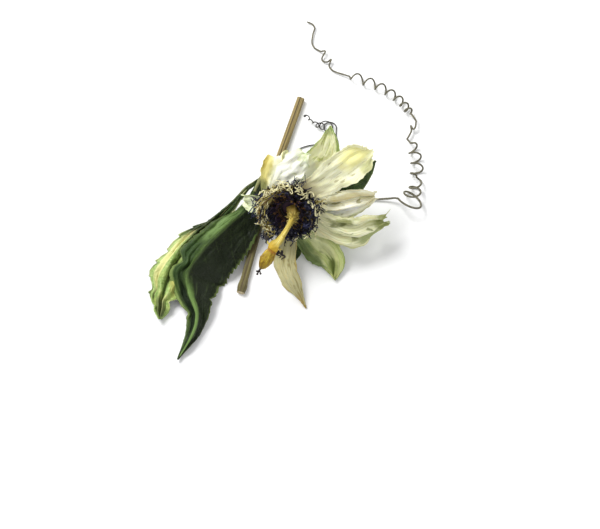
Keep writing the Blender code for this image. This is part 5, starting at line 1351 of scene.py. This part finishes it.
def coilLine(look):
    # axis line + radius * (cos, sin) of an angle that crowds to one end; the coil tightens on its way, and
    # its rings lean along the axis by the same sine, so that the turns bulge one way and pinch the other
    axisLine = through(look["line"], look["steps"])
    tangent = unit(np.gradient(axisLine, axis=0))
    side = unit(np.cross(tangent, skyWay))
    lift = np.cross(side, tangent)
    share = np.linspace(0, 1, look["steps"])
    angle = 2 * math.pi * look["turns"] * share ** look["crowd"] + look["phase"]
    grown = look["radius"] * ramp(share, 0.0, 0.06) * ramp(share, 1.02, 0.94) * (1 - look["slim"] * share)
    line = axisLine + (grown * np.cos(angle))[:, None] * side + (grown * np.sin(angle))[:, None] * lift
    return line + (look["lean"] * grown * np.sin(angle))[:, None] * tangent, tangent


def leaningLoops(look):
    # circle tipped over backwards whose middle climbs along its own line while the circle shrinks; the
    # tilt drops its right side
    share = np.linspace(0, 1, look["steps"])
    middle = through(look["centres"], look["steps"])
    places = np.linspace(0, 1, len(look["radii"]))
    size, tilt = np.interp(share, places, look["radii"]), np.interp(share, places, look["tilts"])
    angle = math.radians(look["startDeg"]) + 2 * math.pi * look["turns"] * share
    slope = math.radians(look["leanDeg"])
    ring = [np.cos(angle), math.cos(slope) * np.sin(angle) + tilt * np.cos(angle),
            math.sin(slope) * np.sin(angle)]
    return middle + size[:, None] * np.stack(ring, axis=1)


def rollingLoops(look):
    # flat circle whose middle and size wander from loop to loop while it climbs steadily
    middle = through(look["centres"], look["steps"])
    share = np.linspace(0, 1, look["steps"])
    size = np.interp(share, np.linspace(0, 1, len(look["radii"])), look["radii"])
    angle = math.radians(look["startDeg"]) + 2 * math.pi * look["turns"] * share
    return middle + np.stack([size * np.cos(angle), size * np.sin(angle), look["rise"] * share], axis=1)


def softened(line, passes):
    # each pass sets every point to a quarter, a half and a quarter of its neighbours and itself
    for _ in range(passes):
        line = np.vstack([line[:1], 0.25 * line[:-2] + 0.5 * line[1:-1] + 0.25 * line[2:], line[-1:]])
    return line


def restOnFloor(solid):
    # no point below z = 0
    solid["points"][:, 2] = np.maximum(solid["points"][:, 2], 0.0)
    return solid


def longTendrilLine():
    # the stretches one after the other, each with a direction for its section to start from
    steps = tendril["steps"]
    free = {name: through(tendril[name], steps[name]) for name in ("twist", "slack", "kink", "last")}
    run = through([vineJoint + tendril["fromJoint"]] + tendril["run"], steps["run"])
    first, firstAxis = coilLine(tendril["firstCoil"])
    second, secondAxis = coilLine(tendril["secondCoil"])
    stretches = [run, leaningLoops(tendril["loops"]), first, free["twist"], second, free["slack"],
                 free["kink"], free["last"]]
    reference = [np.tile(skyWay, (len(line), 1)) for line in stretches]
    reference[2], reference[4] = firstAxis, secondAxis
    reference = np.vstack(reference)
    places = np.linspace(0, len(reference) - 1, steps["whole"])
    return through(np.vstack(stretches), steps["whole"]), readAt(places, np.arange(len(reference)), reference)


def buildTendrils():
    # softened lines as thin tubes: the long one tapers, the small one runs on into its rolling loops
    line, reference = longTendrilLine()
    line[:, 2] = np.maximum(line[:, 2], tendril["lowest"])
    line = softened(line, tendril["softenLine"])
    reference = softened(reference, tendril["softenSection"])
    taper = tendril["thickFoot"] - tendril["taper"] * np.linspace(0, 1, len(line))
    radius = tendril["radius"] * taper
    skin = skinOf(len(line), tendril["sides"], seed=17, amount=0.12, run=160.0)
    made = meshFrom("tendril", restOnFloor(tubeSolid(line, radius, tendril["sides"], reference, skin)))
    finishPiece(made, stemMaterial("tendrilSkin", tendril["look"]), "tendril")
    y = smallTendril["nodeY"]
    start = (vineX(y) + smallTendril["fromVineX"], y, smallTendril["fromZ"])
    run = through([start] + smallTendril["run"], smallTendril["runSteps"])
    line = softened(np.vstack([run, rollingLoops(smallTendril)]), smallTendril["soften"])
    skin = skinOf(len(line), smallTendril["sides"], seed=19, amount=0.15, run=90.0)
    solid = tubeSolid(line, smallTendril["radius"], smallTendril["sides"], skyWay, skin)
    made = meshFrom("tendrilSmall", restOnFloor(solid))
    finishPiece(made, stemMaterial("wiryTendrilSkin", smallTendril["look"]), "tendril_small")


buildTendrils()
print("tendrils done")

# floor, lights and camera; the field, the distance and the aim are millimetres, the rest is metres
studio = {
    "fieldWidth": 198.0, "distance": 2400.0, "aim": (10.3, -24.3), "nearPlane": 12.0, "sensor": 36.0,
    "clip": (0.01, 10.0), "floorHalf": 3.0, "floorDrop": 0.0001, "floorColour": (0.93, 0.93, 0.935),
    "airColour": (0.98, 0.985, 0.99), "airStrength": 0.62,
    "lamps": {"keySoftbox": {"place": (-0.38, 0.34, 0.66), "power": 7.4, "width": 0.4},
              "fillSoftbox": {"place": (0.5, -0.4, 0.6), "power": 1.0, "width": 0.7}},
}


def aimedAt(thing, place, target):
    # put the thing at its place and turn its -Z towards the target
    thing.location = place
    thing.rotation_mode = "QUATERNION"
    way = mathutils.Vector([float(a - b) for a, b in zip(target, place)])
    thing.rotation_quaternion = way.to_track_quat("-Z", "Y")


def buildFloor():
    # one matt square just under the sprig
    half = studio["floorHalf"]
    mesh = bpy.data.meshes.new("paleFloor")
    corners = [(-half, -half), (half, -half), (half, half), (-half, half)]
    mesh.from_pydata([(x, y, -studio["floorDrop"]) for x, y in corners], [], [(0, 1, 2, 3)])
    floor = bpy.data.objects.new("paleFloor", mesh)
    bpy.context.scene.collection.objects.link(floor)
    made, tree, shader = startMaterial("palePaper", roughness=0.9, gloss=0.1)
    plug(tree, shader.inputs["Base Color"], studio["floorColour"])
    floor.data.materials.append(made)


def buildLights(target):
    # even pale air and two soft square lamps turned to the target
    world = bpy.data.worlds.new("studioAir")
    bpy.context.scene.world = world
    world.use_nodes = True
    back = world.node_tree.nodes["Background"]
    back.inputs[0].default_value = (*studio["airColour"], 1)
    back.inputs[1].default_value = studio["airStrength"]
    for name, look in studio["lamps"].items():
        lamp = bpy.data.lights.new(name, "AREA")
        lamp.energy = look["power"]
        lamp.size = look["width"]
        holder = bpy.data.objects.new(name, lamp)
        bpy.context.scene.collection.objects.link(holder)
        aimedAt(holder, look["place"], target)


def buildCamera(target):
    # straight out of the lean at its distance; the lens shows the field's width near the sprig's top
    lens = bpy.data.cameras.new("viewCamera")
    lens.sensor_width = studio["sensor"]
    lens.lens = studio["sensor"] * (studio["distance"] - studio["nearPlane"]) / studio["fieldWidth"]
    lens.clip_start, lens.clip_end = studio["clip"]
    camera = bpy.data.objects.new("viewCamera", lens)
    bpy.context.scene.collection.objects.link(camera)
    aimedAt(camera, target + outWay * studio["distance"] * mm, target)
    bpy.context.scene.camera = camera


middle = (studio["aim"][0] * rightWay + studio["aim"][1] * upWay) * mm
buildFloor()
buildLights(middle)
buildCamera(middle)
bpy.context.scene.view_settings.view_transform = "Standard"
print("studio done")
